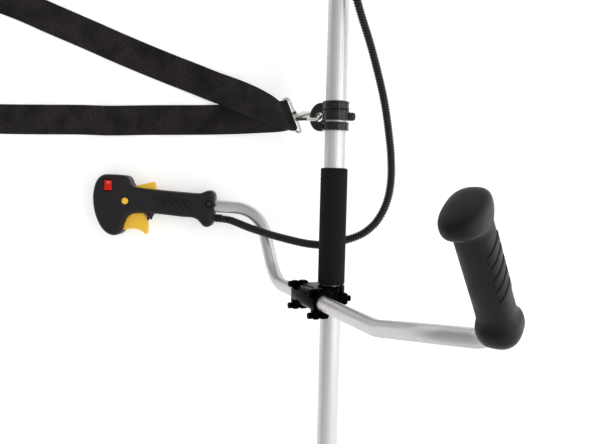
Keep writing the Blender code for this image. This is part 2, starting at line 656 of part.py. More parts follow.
def throttle_case():
    """Two half shells with pockets for the controls, the bar's socket and the cable's hole."""
    outline = flat(CASE_OUTLINE)
    half = 0.0075
    trigger_pocket = plate(flat([(-141.5, 0), (-141.5, -40), (-142.5, -56), (-136, -70),
                                 (-82, -70), (-82, -12), (-92, -1)]),
                           CASE_SPLIT - half, CASE_SPLIT + half)
    lockout_pocket = plate(flat([(-131, 6), (-88.5, 4), (-88.5, 45), (-129, 45), (-129, 22)]),
                           CASE_SPLIT - half, CASE_SPLIT + half)
    bar = moved(bar_mesh(BAR_R + GAP, 0.001), THROTTLE.inverted())
    cable = rod((-0.012, -0.0190, CASE_SPLIT), (0.02, -0.0190, CASE_SPLIT), 0.0054, 14)
    switch = block((SWITCH_POINT[0] - SWITCH_SIZE[0] / 2 - 0.0012,
                    SWITCH_POINT[1] - SWITCH_SIZE[1] / 2 - 0.0012, 0.0235),
                   (SWITCH_POINT[0] + SWITCH_SIZE[0] / 2 + 0.0012,
                    SWITCH_POINT[1] + SWITCH_SIZE[1] / 2 + 0.0012, 0.05))
    button = rod((*BUTTON_POINT, 0.0290), (*BUTTON_POINT, 0.05), 0.0056, 16)
    screw = rod((*SCREW_POINT, 0.0325), (*SCREW_POINT, 0.05), 0.0055, 16)
    pins = [rod((*TRIGGER_PIVOT[:2], 0.007), (*TRIGGER_PIVOT[:2], 0.0290), 0.002, 10),
            rod((*LOCKOUT_PIVOT[:2], 0.007), (*LOCKOUT_PIVOT[:2], 0.0290), 0.0015, 10)]
    pin_bores = [rod((*TRIGGER_PIVOT[:2], 0.016), (*TRIGGER_PIVOT[:2], 0.030), 0.002 + GAP, 10),
                 rod((*LOCKOUT_PIVOT[:2], 0.016), (*LOCKOUT_PIVOT[:2], 0.030), 0.0015 + GAP, 10)]

    upper = plate(outline, CASE_SPLIT + GAP / 2, CASE_TOP, chamfer_high=0.0055)
    upper = cut(upper, trigger_pocket, lockout_pocket, bar, cable, switch, button, screw,
                *pin_bores)
    part("throttle_case_upper", upper, BLACK_PLASTIC, "throttle")
    lower = plate(outline, 0, CASE_SPLIT - GAP / 2, chamfer_low=0.0055)
    lower = joined(cut(lower, trigger_pocket, lockout_pocket, bar, cable), *pins)
    part("throttle_case_lower", lower, BLACK_PLASTIC, "throttle")


def throttle_controls():
    half = 0.0069
    blade = flat([(-136.5, -8), (-128, -8), (-118, -14), (-110.5, -20.5), (-107.0, -27),
                  (-104.6, -37), (-104.1, -45), (-104.9, -52), (-106.7, -52), (-111.2, -47.8),
                  (-117.5, -45.4), (-124.4, -44.8), (-132.5, -46), (-138.4, -47.6),
                  (-137.3, -38), (-134.6, -30), (-138, -20)])
    trigger = cut(plate(blade, CASE_SPLIT - half, CASE_SPLIT + half, 0.0012, 0.0012),
                  rod((*TRIGGER_PIVOT[:2], 0), (*TRIGGER_PIVOT[:2], 0.05), 0.002 + GAP, 10))
    part("throttle_trigger", trigger, YELLOW_PLASTIC, "throttle", TRIGGER_PIVOT)
    wedge = flat([(-129.5, 13), (-127, 22), (-112.8, 26), (-99.8, 30.2), (-97.3, 29.6),
                  (-94.8, 18.5), (-95.2, 13.2), (-122, 11.5)])
    lockout = cut(plate(wedge, CASE_SPLIT - half, CASE_SPLIT + half, 0.0008, 0.0008),
                  rod((*LOCKOUT_PIVOT[:2], 0), (*LOCKOUT_PIVOT[:2], 0.05), 0.0015 + GAP, 10))
    part("throttle_lockout", lockout, YELLOW_PLASTIC, "throttle", LOCKOUT_PIVOT)

    button = turned([(0, 0.0372), (0.0035, 0.0370), (0.0052, 0.0358), (0.0052, 0.0325), (0, 0.0325)],
                    (*BUTTON_POINT, 0), Z, 16)
    part("throttle_lock_button", button, YELLOW_PLASTIC, "throttle", (*BUTTON_POINT, 0.0325))
    screw = turned([(0, 0.0350), (0.0030, 0.0350), (0.0046, 0.0340), (0.0046, 0.0328), (0, 0.0328)],
                   (*SCREW_POINT, 0), Z, 14)
    part("case_screw", screw, BLACK_METAL, "throttle")

    sx, sy = SWITCH_SIZE[0] / 2, SWITCH_SIZE[1] / 2
    cx, cy = SWITCH_POINT
    rocker_sides = flat([(-7.6, -5.0), (7.6, -5.0), (8.0, 1.2), (0, 0.1), (-8.0, 2.6)])
    rocker = plate(rocker_sides, -sx + 0.0004, sx - 0.0004)
    stand = Matrix(((0, 0, 1), (1, 0, 0), (0, 1, 0))).to_4x4()
    stand.translation = (cx, cy, 0.0362)
    part("stop_switch", moved(rocker, stand), RED_PLASTIC, "throttle", (cx, cy, 0.0334))

    boot = turned([(0.0052, 0.0105), (0.0063, 0.0095), (0.0063, 0.0006), (0.0050, 0.0006),
                   (0.0050, -0.0100), (0.0026, -0.0100), (0.0026, 0.0105)], CABLE_POINT, X, 14)
    part("cable_boot", boot, RUBBER, "throttle")


def throttle_cable():
    route = smooth_route([Vector(p) for p in CABLE_ROUTE], CABLE_STEP)
    part("throttle_cable", swept(route, CABLE_R, 2), BLACK_PLASTIC, "floor")


# Engine


def clutch():
    housing = [(0.0180, 0.530), (0.0195, 0.562), (0.0400, 0.585), (0.0520, 0.600), (0.0520, 0.6285)]
    bore = [(0.0465, 0.6285), (0.0465, 0.602), (0.0360, 0.590), (TUBE_R + GAP, 0.5765),
            (TUBE_R + GAP, 0.530)]
    part("clutch_housing", turned(list(reversed(housing)) + list(reversed(bore)), axis=Y, steps=20),
         ALUMINIUM, "machine")


def crank():
    """The crankshaft with the clutch's shoes, the web and the flywheel on it."""
    wheel = [(0, 0.7600), (0.0500, 0.7600), (0.0500, 0.7450), (0, 0.7420)]
    line = joined(rod((0, 0.6120, 0), (0, 0.7500, 0), 0.006, 12),
                  rod((0, 0.6110, 0), (0, 0.6230, 0), 0.0380, 20),
                  rod((0, 0.6700, 0), (0, 0.6960, 0), 0.0240, 18),
                  turned(wheel, axis=Y, steps=24))
    part("crankshaft", line, STEEL, "machine")


def engine_block():
    case = cut(block((-0.0450, 0.6300, -0.0500), (0.0450, 0.7380, 0.0450), 0.006, 1),
               rod((0, 0.60, 0), (0, 0.80, 0), 0.0265, 20))
    fins = [(0, 0.1060)]
    for i in range(6):
        high = 0.1060 - i * 0.0100
        fins += [(0.0360, high), (0.0360, high - 0.0030), (0.0270, high - 0.0030)]
        if i < 5:
            fins.append((0.0270, high - 0.0100))
    fins += [(0.0270, 0.0440), (0, 0.0440)]
    part("engine_block", joined(case, turned(fins, (0, 0.684, 0), Z, 14)), ALUMINIUM, "machine")
    boot = turned([(0.0085, 0.0), (0.0095, -0.004), (0.0095, -0.016), (0.0070, -0.024),
                   (0.0035, -0.024), (0.0035, 0.0)], (0, 0.634, 0.0860), Y, 14)
    part("spark_plug_boot", boot, RUBBER, "machine")


def vents(count, low, high, axis, pitch, width):
    """Cutters for a row of slots across a cover, spaced along one axis."""
    slots = []
    middle = (Vector(low) + Vector(high)) / 2
    for i in range(count):
        place = (i - (count - 1) / 2) * pitch
        a, b = Vector(low), Vector(high)
        a[axis] = middle[axis] + place - width / 2
        b[axis] = middle[axis] + place + width / 2
        slots.append(block(a, b))
    return slots


def covers():
    """The plastic top cover, the muffler's guard and the starter's housing."""
    low, high, wall = Vector((-0.0440, 0.6360, 0.0460)), Vector((0.0460, 0.7380, 0.1260)), 0.0025
    inside_low = low + Vector((wall, -0.03, -0.03))
    inside_high = high - Vector((wall, wall, wall))
    top = cut(block(low, high, 0.012, 2), block(inside_low, inside_high, 0.010, 2),
              *vents(4, (-0.030, 0.66, 0.10), (0.030, 0.72, 0.14), 1, 0.013, 0.005))
    part("engine_cover", top, YELLOW_PLASTIC, "machine")

    muffler = joined(block((-0.0990, 0.6480, 0.0080), (-0.0480, 0.7320, 0.0820), 0.007, 2),
                     rod((-0.0720, 0.6380, 0.0300), (-0.0720, 0.6500, 0.0300), 0.0060, 12))
    muffler = cut(muffler, rod((-0.0720, 0.63, 0.03), (-0.0720, 0.66, 0.03), 0.0045, 10))
    part("muffler", muffler, STEEL, "machine")
    guard = cut(block((-0.1080, 0.6430, 0.0010), (-0.0470, 0.7370, 0.0890), 0.010, 2),
                block((-0.1050, 0.6460, 0.0040), (-0.0300, 0.7340, 0.0860), 0.008, 2),
                rod((-0.0720, 0.63, 0.0300), (-0.0720, 0.66, 0.0300), 0.0080, 14),
                *vents(5, (-0.115, 0.66, 0.015), (-0.100, 0.72, 0.075), 2, 0.012, 0.005))
    part("muffler_guard", guard, BLACK_PLASTIC, "machine")

    starter = [(0, 0.8060), (0.0260, 0.8050), (0.0500, 0.7960), (0.0600, 0.7800), (0.0620, 0.7390),
               (0.0590, 0.7390), (0.0570, 0.7780), (0.0480, 0.7925), (0.0260, 0.8015), (0, 0.8020)]
    housing = turned(starter, axis=Y, steps=20)
    rope_port = joined(housing, rod((0.030, 0.7800, 0.030), (0.030, 0.7800, 0.0620), 0.0085, 14))
    slots = [rod(Vector((0.040 * math.cos(a), 0.77, 0.040 * math.sin(a))),
                 Vector((0.040 * math.cos(a), 0.82, 0.040 * math.sin(a))), 0.0050, 8)
             for a in [math.radians(15 + 60 * i) for i in range(6)]]
    rope_bore = rod((0.030, 0.7800, 0.020), (0.030, 0.7800, 0.07), 0.0040, 10)
    pivot = rod((0, 0.7700, 0), (0, 0.8040, 0), 0.0042, 12)
    part("starter_housing", joined(cut(rope_port, rope_bore, *slots), pivot), BLACK_PLASTIC,
         "machine")


def starter():
    grip = joined(block((0.0060, 0.7690, 0.0640), (0.0540, 0.7910, 0.0860), 0.0065, 2),
                  rod((0.030, 0.7800, 0.0340), (0.030, 0.7800, 0.0660), 0.0020, 8))
    part("starter_handle", grip, BLACK_PLASTIC, "machine", (0.030, 0.7800, 0.0640))


def fuel_system():
    tank = joined(block((-0.0850, 0.6080, -0.1240), (0.0850, 0.7060, -0.0600), 0.016, 2),
                  rod((0.0800, 0.6560, -0.0920), (0.0930, 0.6560, -0.0920), 0.0150, 18))
    part("fuel_tank", tank, PALE_PLASTIC, "machine")
    cap = turned([(0, 0.0150), (0.0160, 0.0150), (0.0185, 0.0130), (0.0185, 0.0), (0.0153, 0.0),
                  (0.0153, 0.0080), (0, 0.0080)], (0.0850 + 2 * GAP, 0.6560, -0.0920), X, 20)
    part("fuel_cap", cap, BLACK_PLASTIC, "machine", (0.0850, 0.6560, -0.0920))
    stand = joined(block((-0.1150, 0.6120, -0.1350), (0.1150, 0.7020, -0.1290)),
                   block((-0.0500, 0.6960, -0.1330), (0.0500, 0.7020 + 0.0120, -0.1290)),
                   block((-0.0500, 0.7080, -0.1330), (0.0500, 0.7140, -0.0510)))
    part("engine_stand", stand, BLACK_PLASTIC, "machine")

    body = joined(block((0.0480, 0.6620, 0.0340), (0.0800, 0.7140, 0.0720), 0.003, 1),
                  rod((0.0640, 0.6620, 0.0530), (0.0640, 0.6585, 0.0530), 0.0075, 14))
    body = cut(body, rod((0.0640, 0.6980, 0.0300), (0.0640, 0.6980, 0.0390), 0.0093, 14))
    part("carburettor", body, ALUMINIUM, "machine")
    bulb = turned([(0, 0.0100), (0.0050, 0.0088), (0.0082, 0.0045), (0.0088, 0.0), (0, 0.0)],
                  (0.0640, 0.6980, 0.0337), -Z, 14)
    part("primer_bulb", bulb, PALE_PLASTIC, "machine", (0.0640, 0.6980, 0.0337))
    box = block((0.0805, 0.6420, 0.0220), (0.1240, 0.7340, 0.0980), 0.012, 2)
    part("air_filter_cover", box, BLACK_PLASTIC, "machine")
    lever = joined(rod((0.0980, 0.7345, 0.0450), (0.0980, 0.7380, 0.0450), 0.0055, 14),
                   block((0.0955, 0.7345, 0.0450), (0.1005, 0.7380, 0.0660), 0.001, 1),
                   block((0.0955, 0.7345, 0.0620), (0.1005, 0.7440, 0.0660), 0.001, 1))
    part("choke_lever", lever, YELLOW_PLASTIC, "machine", (0.0980, 0.7350, 0.0450))


# Gearbox, cutting head and guard

LINE_HEIGHT = -0.0680
GUARD_R = 0.190
GUARD_HALF_ANGLE = 33.9


def gearbox():
    """A cast housing at the shaft's end. Its arbor points down; pitch cones stand for gears."""
    back = HEAD.inverted() @ MACHINE

    def from_machine(y):
        return back @ Vector((0, y, 0))

    ball = bmesh.new()
    bmesh.ops.create_uvsphere(ball, u_segments=14, v_segments=8, radius=0.0290)
    shell = joined(finished(ball), rod(from_machine(-0.872), from_machine(-0.925), 0.0205, 16),
                   rod((0, 0, 0.0270), (0, 0, -0.0380), 0.0215, 16),
                   rod((0, 0, -0.0250), (0, 0, -0.0390), 0.0250, 16))
    shell = cut(shell, rod(from_machine(-0.86), from_machine(-0.9062), TUBE_R + GAP, 20),
                rod(from_machine(-0.90), from_machine(-0.9320), 0.0110, 16),
                rod((0, 0, 0.0215), (0, 0, 0.0070), 0.0150, 16),
                rod((0, 0, 0.0100), (0, 0, -0.05), 0.0130, 16))
    part("gearbox_housing", shell, ALUMINIUM, "head")
    arbor = joined(rod((0, 0, 0.0195), (0, 0, -0.0560), 0.0050, 12),
                   rod((0, 0, 0.0160), (0, 0, 0.0110), 0.0104, 18, 0.0070),
                   turned([(0, -0.0400), (0.0260, -0.0400), (0.0280, -0.0420),
                           (0.0280, -0.0450), (0, -0.0450)], axis=Z, steps=24))
    part("arbor", arbor, STEEL, "head")


def cutting_head():
    outer = [(0.0200, -0.0455), (0.0480, -0.0490), (0.0550, -0.0560), (0.0550, -0.0800),
             (0.0500, -0.0840), (0.0330, -0.0840)]
    inner = [(0.0330, -0.0810), (0.0480, -0.0800), (0.0520, -0.0760), (0.0520, -0.0580),
             (0.0470, -0.0530), (0.0053, -0.0510), (0.0053, -0.0455)]
    shell = turned(outer + inner, axis=Z, steps=20)
    ports = [rod((0, side * 0.040, LINE_HEIGHT), (0, side * 0.07, LINE_HEIGHT), 0.0030, 10)
             for side in (-1, 1)]
    part("head_housing", cut(shell, *ports), BLACK_PLASTIC, "head")
    spool = [(0.0460, -0.0600), (0.0460, -0.0615), (0.0260, -0.0615), (0.0260, -0.0745),
             (0.0460, -0.0745), (0.0460, -0.0760), (0.0180, -0.0760), (0.0180, -0.0600)]
    part("line_spool", turned(spool, axis=Z, steps=16), YELLOW_PLASTIC, "head")
    knob = [(0, -0.0660), (0.0170, -0.0660), (0.0170, -0.0820), (0.0320, -0.0830),
            (0.0320, -0.0880), (0.0260, -0.0950), (0.0120, -0.0980), (0, -0.0985)]
    part("bump_knob", turned(knob, axis=Z, steps=18), YELLOW_PLASTIC, "head", (0, 0, -0.0660))
    for number, side in enumerate((-1, 1), start=1):
        line = rod((0, side * 0.0300, LINE_HEIGHT), (0, side * 0.1650, LINE_HEIGHT), 0.0012, 8)
        part(f"trimmer_line_{number}", line, NYLON, "head")


def guard():
    """A fan-shaped shield behind the head, with a skirt along its outer arc."""
    top, skirt, wall = -0.0300, -0.0850, 0.0030
    rim = arc((0, 0), GUARD_R, 90 - GUARD_HALF_ANGLE, 90 + GUARD_HALF_ANGLE, 12)
    neck = [(-0.050, 0.034), (-0.026, 0.036), (0.026, 0.036), (0.050, 0.034)]
    bm = bmesh.new()
    verts = [bm.verts.new((x, y, top)) for x, y in rim + neck]
    bm.faces.new(verts)
    bm.edges.ensure_lookup_table()
    on_arc = set(verts[:len(rim)])
    edges = [e for e in bm.edges if set(e.verts) <= on_arc]
    down = bmesh.ops.extrude_edge_only(bm, edges=edges)["geom"]
    bmesh.ops.translate(bm, verts=[v for v in down if isinstance(v, bmesh.types.BMVert)],
                        vec=(0, 0, skirt - top))
    obj = temporary(finished(bm, "guard"))
    thick = obj.modifiers.new("thick", "SOLIDIFY")
    thick.thickness = wall
    thick.offset = 1.0
    thick.use_even_offset = True
    shield = evaluated(obj)

    back = HEAD.inverted() @ MACHINE
    tube_low, tube_high = back @ Vector((0, -0.868, 0)), back @ Vector((0, -0.826, 0))
    foot = block((-0.0180, 0.0600, top - 0.0010), (0.0180, 0.1040, top + 0.0080))
    rib = block((-0.0050, 0.0770, top + 0.0060), (0.0050, 0.0940, 0.0360))
    bracket = joined(foot, rib, rod(tube_low, tube_high, 0.0185, 20))
    bracket = cut(bracket, rod(2 * tube_low - tube_high, 2 * tube_high - tube_low,
                               TUBE_R + GAP, 24))
    part("guard", joined(shield, bracket), BLACK_PLASTIC, "head")
    blade = block((0.0860, 0.1420, -0.0840), (0.0880, 0.1600, -0.0500))
    part("line_blade", blade, STEEL, "head")


def settle(whole):
    """Moves the object so that its origin is under its middle, on the floor."""
    bpy.context.view_layer.update()
    corners = [obj.matrix_world @ v.co for obj in PARTS.objects
               if obj.type == "MESH" and obj.name != "throttle_cable" for v in obj.data.vertices]
    low = Vector([min(c[k] for c in corners) for k in range(3)])
    high = Vector([max(c[k] for c in corners) for k in range(3)])
    whole.location = (-(low.x + high.x) / 2, -(low.y + high.y) / 2, -low.z)
    bpy.context.view_layer.update()


WHOLE = make_frames()
shaft()
foam_sleeve()
hanger()
snap_hook()
swivel_ring()
harness()
handlebar()
clamp()
plain_grip()
throttle_case()
throttle_controls()
throttle_cable()
clutch()
crank()
engine_block()
covers()
starter()
fuel_system()
gearbox()
cutting_head()
guard()
settle(WHOLE)
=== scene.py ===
"""Looks for a petrol string trimmer with bicycle handlebars, lying on its right side.

New pieces are made in the same frames as the CAD: "floor" is the row frame without its
offset, "machine" is the trimmer's own frame, and "throttle" and "grip" are the two handles'.
"""

import json
from math import copysign, cos, exp, pi, radians, sin, tan, tau

import bmesh
import bpy
from mathutils import Matrix, Vector


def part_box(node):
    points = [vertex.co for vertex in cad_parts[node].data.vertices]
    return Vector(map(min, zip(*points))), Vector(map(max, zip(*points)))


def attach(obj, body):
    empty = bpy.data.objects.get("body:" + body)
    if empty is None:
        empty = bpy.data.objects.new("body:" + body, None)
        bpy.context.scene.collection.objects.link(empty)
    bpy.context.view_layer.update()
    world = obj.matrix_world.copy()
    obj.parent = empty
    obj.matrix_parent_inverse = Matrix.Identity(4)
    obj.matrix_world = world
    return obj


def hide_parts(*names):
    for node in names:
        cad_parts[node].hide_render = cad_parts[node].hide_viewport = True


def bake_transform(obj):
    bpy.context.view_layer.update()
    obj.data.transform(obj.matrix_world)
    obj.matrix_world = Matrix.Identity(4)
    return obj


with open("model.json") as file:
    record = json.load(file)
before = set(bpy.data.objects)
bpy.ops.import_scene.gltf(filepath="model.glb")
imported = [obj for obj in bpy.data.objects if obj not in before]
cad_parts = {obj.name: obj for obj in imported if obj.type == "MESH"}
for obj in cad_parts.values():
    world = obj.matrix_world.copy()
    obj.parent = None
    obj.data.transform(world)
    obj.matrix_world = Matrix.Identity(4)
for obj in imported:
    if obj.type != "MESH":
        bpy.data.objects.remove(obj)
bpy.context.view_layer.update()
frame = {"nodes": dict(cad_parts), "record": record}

MM = 0.001
ORIGIN = Vector((0, 0, 0))
X = Vector((1, 0, 0))
Y = Vector((0, 1, 0))
Z = Vector((0, 0, 1))

# The CAD's driving dimensions, and where its own origin is in the row frame
SHAFT_HEIGHT = 0.157
TUBE_R = 0.014
TUBE_FRONT = -0.905
BAR_R = 0.0095
WEB_WIDTH = 0.047
WEB_THICK = 0.002
TUBE_LOW, TUBE_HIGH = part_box("drive_tube")
TUBE_MIDDLE = (TUBE_LOW + TUBE_HIGH) / 2
OFFSET = Vector((TUBE_MIDDLE.x, TUBE_LOW.y - TUBE_FRONT, TUBE_MIDDLE.z - SHAFT_HEIGHT))

BAR_CORNERS = [Vector(p) for p in [
    (-0.228, 0.1302, 0.0182), (-0.1079, 0.1239, 0.0281), (-0.0798, 0.0156, 0.0558),
    (0.0393, 0.0156, 0.3519), (0.0791, 0.0303, 0.4316), (0.136, 0.0355, 0.4755),
    (0.0904, 0.1358, 0.5283)]]
BAR_BENDS = [0.0536, 0.045, 0.05, 0.0993, 0.03]

PLACE = Matrix.Translation(OFFSET)
MACHINE = (PLACE @ Matrix.Translation((0, 0, SHAFT_HEIGHT))
           @ Matrix.Rotation(radians(-68.1), 4, "Y"))
THROTTLE = (PLACE @ Matrix.Translation((-0.1784, 0.1274, 0))
            @ Matrix.Rotation(radians(-2.97), 4, "Z"))
GRIP_AXIS = (BAR_CORNERS[-1] - BAR_CORNERS[-2]).normalized()
GRIP = (PLACE @ Matrix.Translation(BAR_CORNERS[-2])
        @ Z.rotation_difference(GRIP_AXIS).to_matrix().to_4x4())
FRAMES = {"floor": PLACE, "machine": MACHINE, "throttle": THROTTLE, "grip": GRIP}


# Camera, floor and lights

scene = bpy.context.scene

CAMERA_PLACE = Vector((-0.0446, 0.1714, 1.0257))
CAMERA_PITCH = radians(3.7547)
CAMERA_ROLL = radians(1.386)
CAMERA_LENS = 38.4
LAMP_AIM = Vector((0, 0.1, 0.1))
LAMPS = (  # name, place, width, length, power
    ("key", (1.7, 0.3, 1.0), 2.0, 2.0, 9),
    ("strip", (0.62, 0.2, 1.25), 1.3, 0.05, 1.5),
)
BRIGHT_SIDE = Vector((0.8, -0.45, 0.05))
DARKEST, BRIGHTEST = 0.4, 1.1


def fill(node, **values):
    """Sets a shader node's inputs. An underscore stands for a space."""
    for name, value in values.items():
        node.inputs[name.replace("_", " ")].default_value = value
    return node


def added(data, name="temporary"):
    """Puts an object with that data into the scene."""
    obj = bpy.data.objects.new(name, data)
    scene.collection.objects.link(obj)
    return obj


def camera():
    """Stands over the throttle handle and looks down at the shaft, turned a little."""
    pitch, roll = CAMERA_PITCH, CAMERA_ROLL
    up = Vector((0, cos(pitch), -sin(pitch)))
    back = Vector((0, sin(pitch), cos(pitch)))
    right = X * cos(roll) + up * sin(roll)
    above = up * cos(roll) - X * sin(roll)
    data = bpy.data.cameras.new("camera")
    data.sensor_width = 36
    data.lens = CAMERA_LENS
    data.clip_end = 20
    eye = added(data, "camera")
    matrix = Matrix((right, above, back)).transposed().to_4x4()
    matrix.translation = OFFSET + CAMERA_PLACE
    eye.matrix_world = matrix
    scene.camera = eye


def studio():
    """A pale floor, a surround that is brighter on one side, a large lamp and a narrow one."""
    mesh = bpy.data.meshes.new("floor")
    mesh.from_pydata([(-6, -6, 0), (6, -6, 0), (6, 6, 0), (-6, 6, 0)], [], [(0, 1, 2, 3)])
    floor = added(mesh, "floor")
    mat = bpy.data.materials.new("floor")
    mat.use_nodes = True
    fill(mat.node_tree.nodes["Principled BSDF"], Base_Color=(0.85, 0.85, 0.85, 1), Roughness=0.9,
         Specular_IOR_Level=0.1, Emission_Color=(1, 1, 1, 1), Emission_Strength=0.42)
    mesh.materials.append(mat)

    world = bpy.data.worlds.new("studio")
    scene.world = world
    world.use_nodes = True
    nodes, links = world.node_tree.nodes, world.node_tree.links
    towards = nodes.new("ShaderNodeTexCoord").outputs["Generated"]
    across = nodes.new("ShaderNodeVectorMath")
    across.operation = "DOT_PRODUCT"
    across.inputs[1].default_value = BRIGHT_SIDE.normalized()
    links.new(towards, across.inputs[0])
    share = fill(nodes.new("ShaderNodeMapRange"), From_Min=-1, To_Min=DARKEST, To_Max=BRIGHTEST)
    links.new(across.outputs["Value"], share.inputs["Value"])
    links.new(share.outputs["Result"], nodes["Background"].inputs["Strength"])
    fill(nodes["Background"], Color=(1, 1, 1, 1))
    for name, place, width, length, power in LAMPS:
        data = bpy.data.lights.new(name, "AREA")
        data.shape = "ELLIPSE"
        data.size = width
        data.size_y = length
        data.energy = power
        lamp = added(data, name)
        lamp.location = OFFSET + Vector(place)
        aim = OFFSET + LAMP_AIM - lamp.location
        lamp.rotation_euler = aim.to_track_quat("-Z", "Y").to_euler()
    scene.view_settings.view_transform = "Standard"


# Modelling helpers


def evaluated(obj):
    """The mesh of an object after its modifiers. The object itself goes."""
    graph = bpy.context.evaluated_depsgraph_get()
    mesh = bpy.data.meshes.new_from_object(obj.evaluated_get(graph))
    bpy.data.objects.remove(obj)
    return mesh


def finished(bm):
    mesh = bpy.data.meshes.new("shape")
    bmesh.ops.recalc_face_normals(bm, faces=bm.faces)
    bm.to_mesh(mesh)
    bm.free()
    return mesh


def aligned(axis, at=ORIGIN):
    """A frame at a point, with its Z along an axis."""
    return Matrix.Translation(at) @ Z.rotation_difference(Vector(axis)).to_matrix().to_4x4()


def block(low, high, round_r=0.0, segments=3):
    low, high = Vector(low), Vector(high)
    bm = bmesh.new()
    place = Matrix.Translation((low + high) / 2) @ Matrix.Diagonal((*(high - low), 1))
    bmesh.ops.create_cube(bm, size=1, matrix=place)
    if round_r:
        bmesh.ops.bevel(bm, geom=bm.edges[:], offset=round_r, segments=segments, profile=0.5,
                        affect="EDGES")
    return finished(bm)


def rod(start, end, radius, sides=32):
    start, end = Vector(start), Vector(end)
    bm = bmesh.new()
    bmesh.ops.create_cone(bm, cap_ends=True, segments=sides, radius1=radius, radius2=radius,
                          depth=(end - start).length,
                          matrix=aligned(end - start, (start + end) / 2))
    return finished(bm)


def turned(profile, at=ORIGIN, axis=Z, steps=48):
    """A turned body from (radius, height) points in millimetres, closed where it has a bore."""
    mesh = bpy.data.meshes.new("profile")
    edges = [(i, i + 1) for i in range(len(profile) - 1)]
    if profile[0][0] > 0:
        edges.append((len(profile) - 1, 0))
    mesh.from_pydata([(r * MM, 0, h * MM) for r, h in profile], edges, [])
    obj = added(mesh)
    screw = obj.modifiers.new("screw", "SCREW")
    screw.steps = steps
    screw.render_steps = steps
    screw.use_merge_vertices = True
    screw.merge_threshold = 0.00002
    result = welded(evaluated(obj))
    result.transform(aligned(axis, at))
    return result


def swept(points, radius, resolution=8, cyclic=False):
    """A round bar along a list of points."""
    data = bpy.data.curves.new("route", "CURVE")
    data.dimensions = "3D"
    spline = data.splines.new("POLY")
    spline.points.add(len(points) - 1)
    for point, place in zip(spline.points, points):
        point.co = (*place, 1)
    spline.use_cyclic_u = cyclic
    data.bevel_depth = radius
    data.bevel_resolution = resolution
    data.use_fill_caps = True
    return welded(evaluated(added(data)))


def welded(mesh):
    bm = bmesh.new()
    bm.from_mesh(mesh)
    bmesh.ops.remove_doubles(bm, verts=bm.verts, dist=0.00001)
    return finished(bm)


def plate(outline, low, high, round_low=0.0, round_high=0.0, segments=5):
    """A flat outline between two heights, with its rims rounded."""
    bm = bmesh.new()
    base = bm.faces.new([bm.verts.new((x, y, low)) for x, y in outline])
    sides = bmesh.ops.extrude_face_region(bm, geom=[base])["geom"]
    bmesh.ops.translate(bm, verts=[v for v in sides if isinstance(v, bmesh.types.BMVert)],
                        vec=(0, 0, high - low))
    for height, size in ((low, round_low), (high, round_high)):
        if size:
            rim = [e for e in bm.edges if all(abs(v.co.z - height) < 0.00001 for v in e.verts)]
            bmesh.ops.bevel(bm, geom=rim, offset=size, segments=segments, profile=0.5,
                            affect="EDGES", clamp_overlap=True)
    return finished(bm)


def combined(operation, base, *tools):
    for tool in tools:
        target, cutter = added(base), added(tool)
        step = target.modifiers.new("step", "BOOLEAN")
        step.operation = operation
        step.object = cutter
        step.solver = "EXACT"
        base = evaluated(target)
        bpy.data.objects.remove(cutter)
    return welded(base)


def joined(base, *tools):
    return combined("UNION", base, *tools)


def cut(base, *tools):
    return combined("DIFFERENCE", base, *tools)


def merged(*meshes):
    """Several meshes in one, each staying a body of its own."""
    bm = bmesh.new()
    for mesh in meshes:
        bm.from_mesh(mesh)
    return finished(bm)


def moved(mesh, matrix):
    mesh.transform(matrix)
    return mesh


def skinned(rows, closed=True):
    """Faces between rows of points. Closed rows are rings, and the first and last are filled."""
    bm = bmesh.new()
    rows = [[bm.verts.new(point) for point in row] for row in rows]
    count = len(rows[0])
    for one, two in zip(rows, rows[1:]):
        for k in range(count if closed else count - 1):
            n = (k + 1) % count
            bm.faces.new((one[k], one[n], two[n], two[k]))
    if closed:
        bm.faces.new(rows[0])
        bm.faces.new(rows[-1])
    return finished(bm)


def along(before, here, there, after, t):
    """A point on a smooth curve between the two middle ones of four."""
    return 0.5 * (2 * here + (there - before) * t
                  + (2 * before - 5 * here + 4 * there - after) * t * t
                  + (3 * here - before - 3 * there + after) * t * t * t)


def smooth_route(points, spacing):
    """Points along a smooth curve through the given ones."""
    points = [Vector(point) for point in points]
    ends = [2 * points[0] - points[1]] + points + [2 * points[-1] - points[-2]]
    result = []
    for before, here, there, after in zip(ends, ends[1:], ends[2:], ends[3:]):
        steps = max(1, round((there - here).length / spacing))
        result += [along(before, here, there, after, i / steps) for i in range(steps)]
    return result + [points[-1]]


def smooth_outline(points, steps=4):
    """A closed outline in millimetres, rounded through its points, in metres."""
    flat = [Vector(p) * MM for p in points]
    count = len(flat)
    result = []
    for i in range(count):
        corners = [flat[(i + k - 1) % count] for k in range(4)]
        result += [along(*corners, s / steps) for s in range(steps)]
    return [tuple(p) for p in result]


def filleted(corners, bends, steps=14):
    """The centreline of a bent tube: straight runs with an arc at each inner corner."""
    line = [corners[0]]
    for before, corner, after, bend in zip(corners, corners[1:], corners[2:], bends):
        back = (before - corner).normalized()
        on = (after - corner).normalized()
        opening = back.angle(on)
        turn = pi - opening
        middle = corner + (back + on).normalized() * bend / sin(opening / 2)
        start = corner + back * bend * tan(turn / 2)
        out = (start - middle).normalized()
        for i in range(steps + 1):
            angle = turn * i / steps
            line.append(middle + bend * (out * cos(angle) - back * sin(angle)))
    return line + [corners[-1]]


def arc(centre, radius, start, end, steps):
    angles = [radians(start + (end - start) * i / steps) for i in range(steps + 1)]
    return [(centre[0] + radius * cos(a), centre[1] + radius * sin(a)) for a in angles]


# Materials

MATERIALS = {}


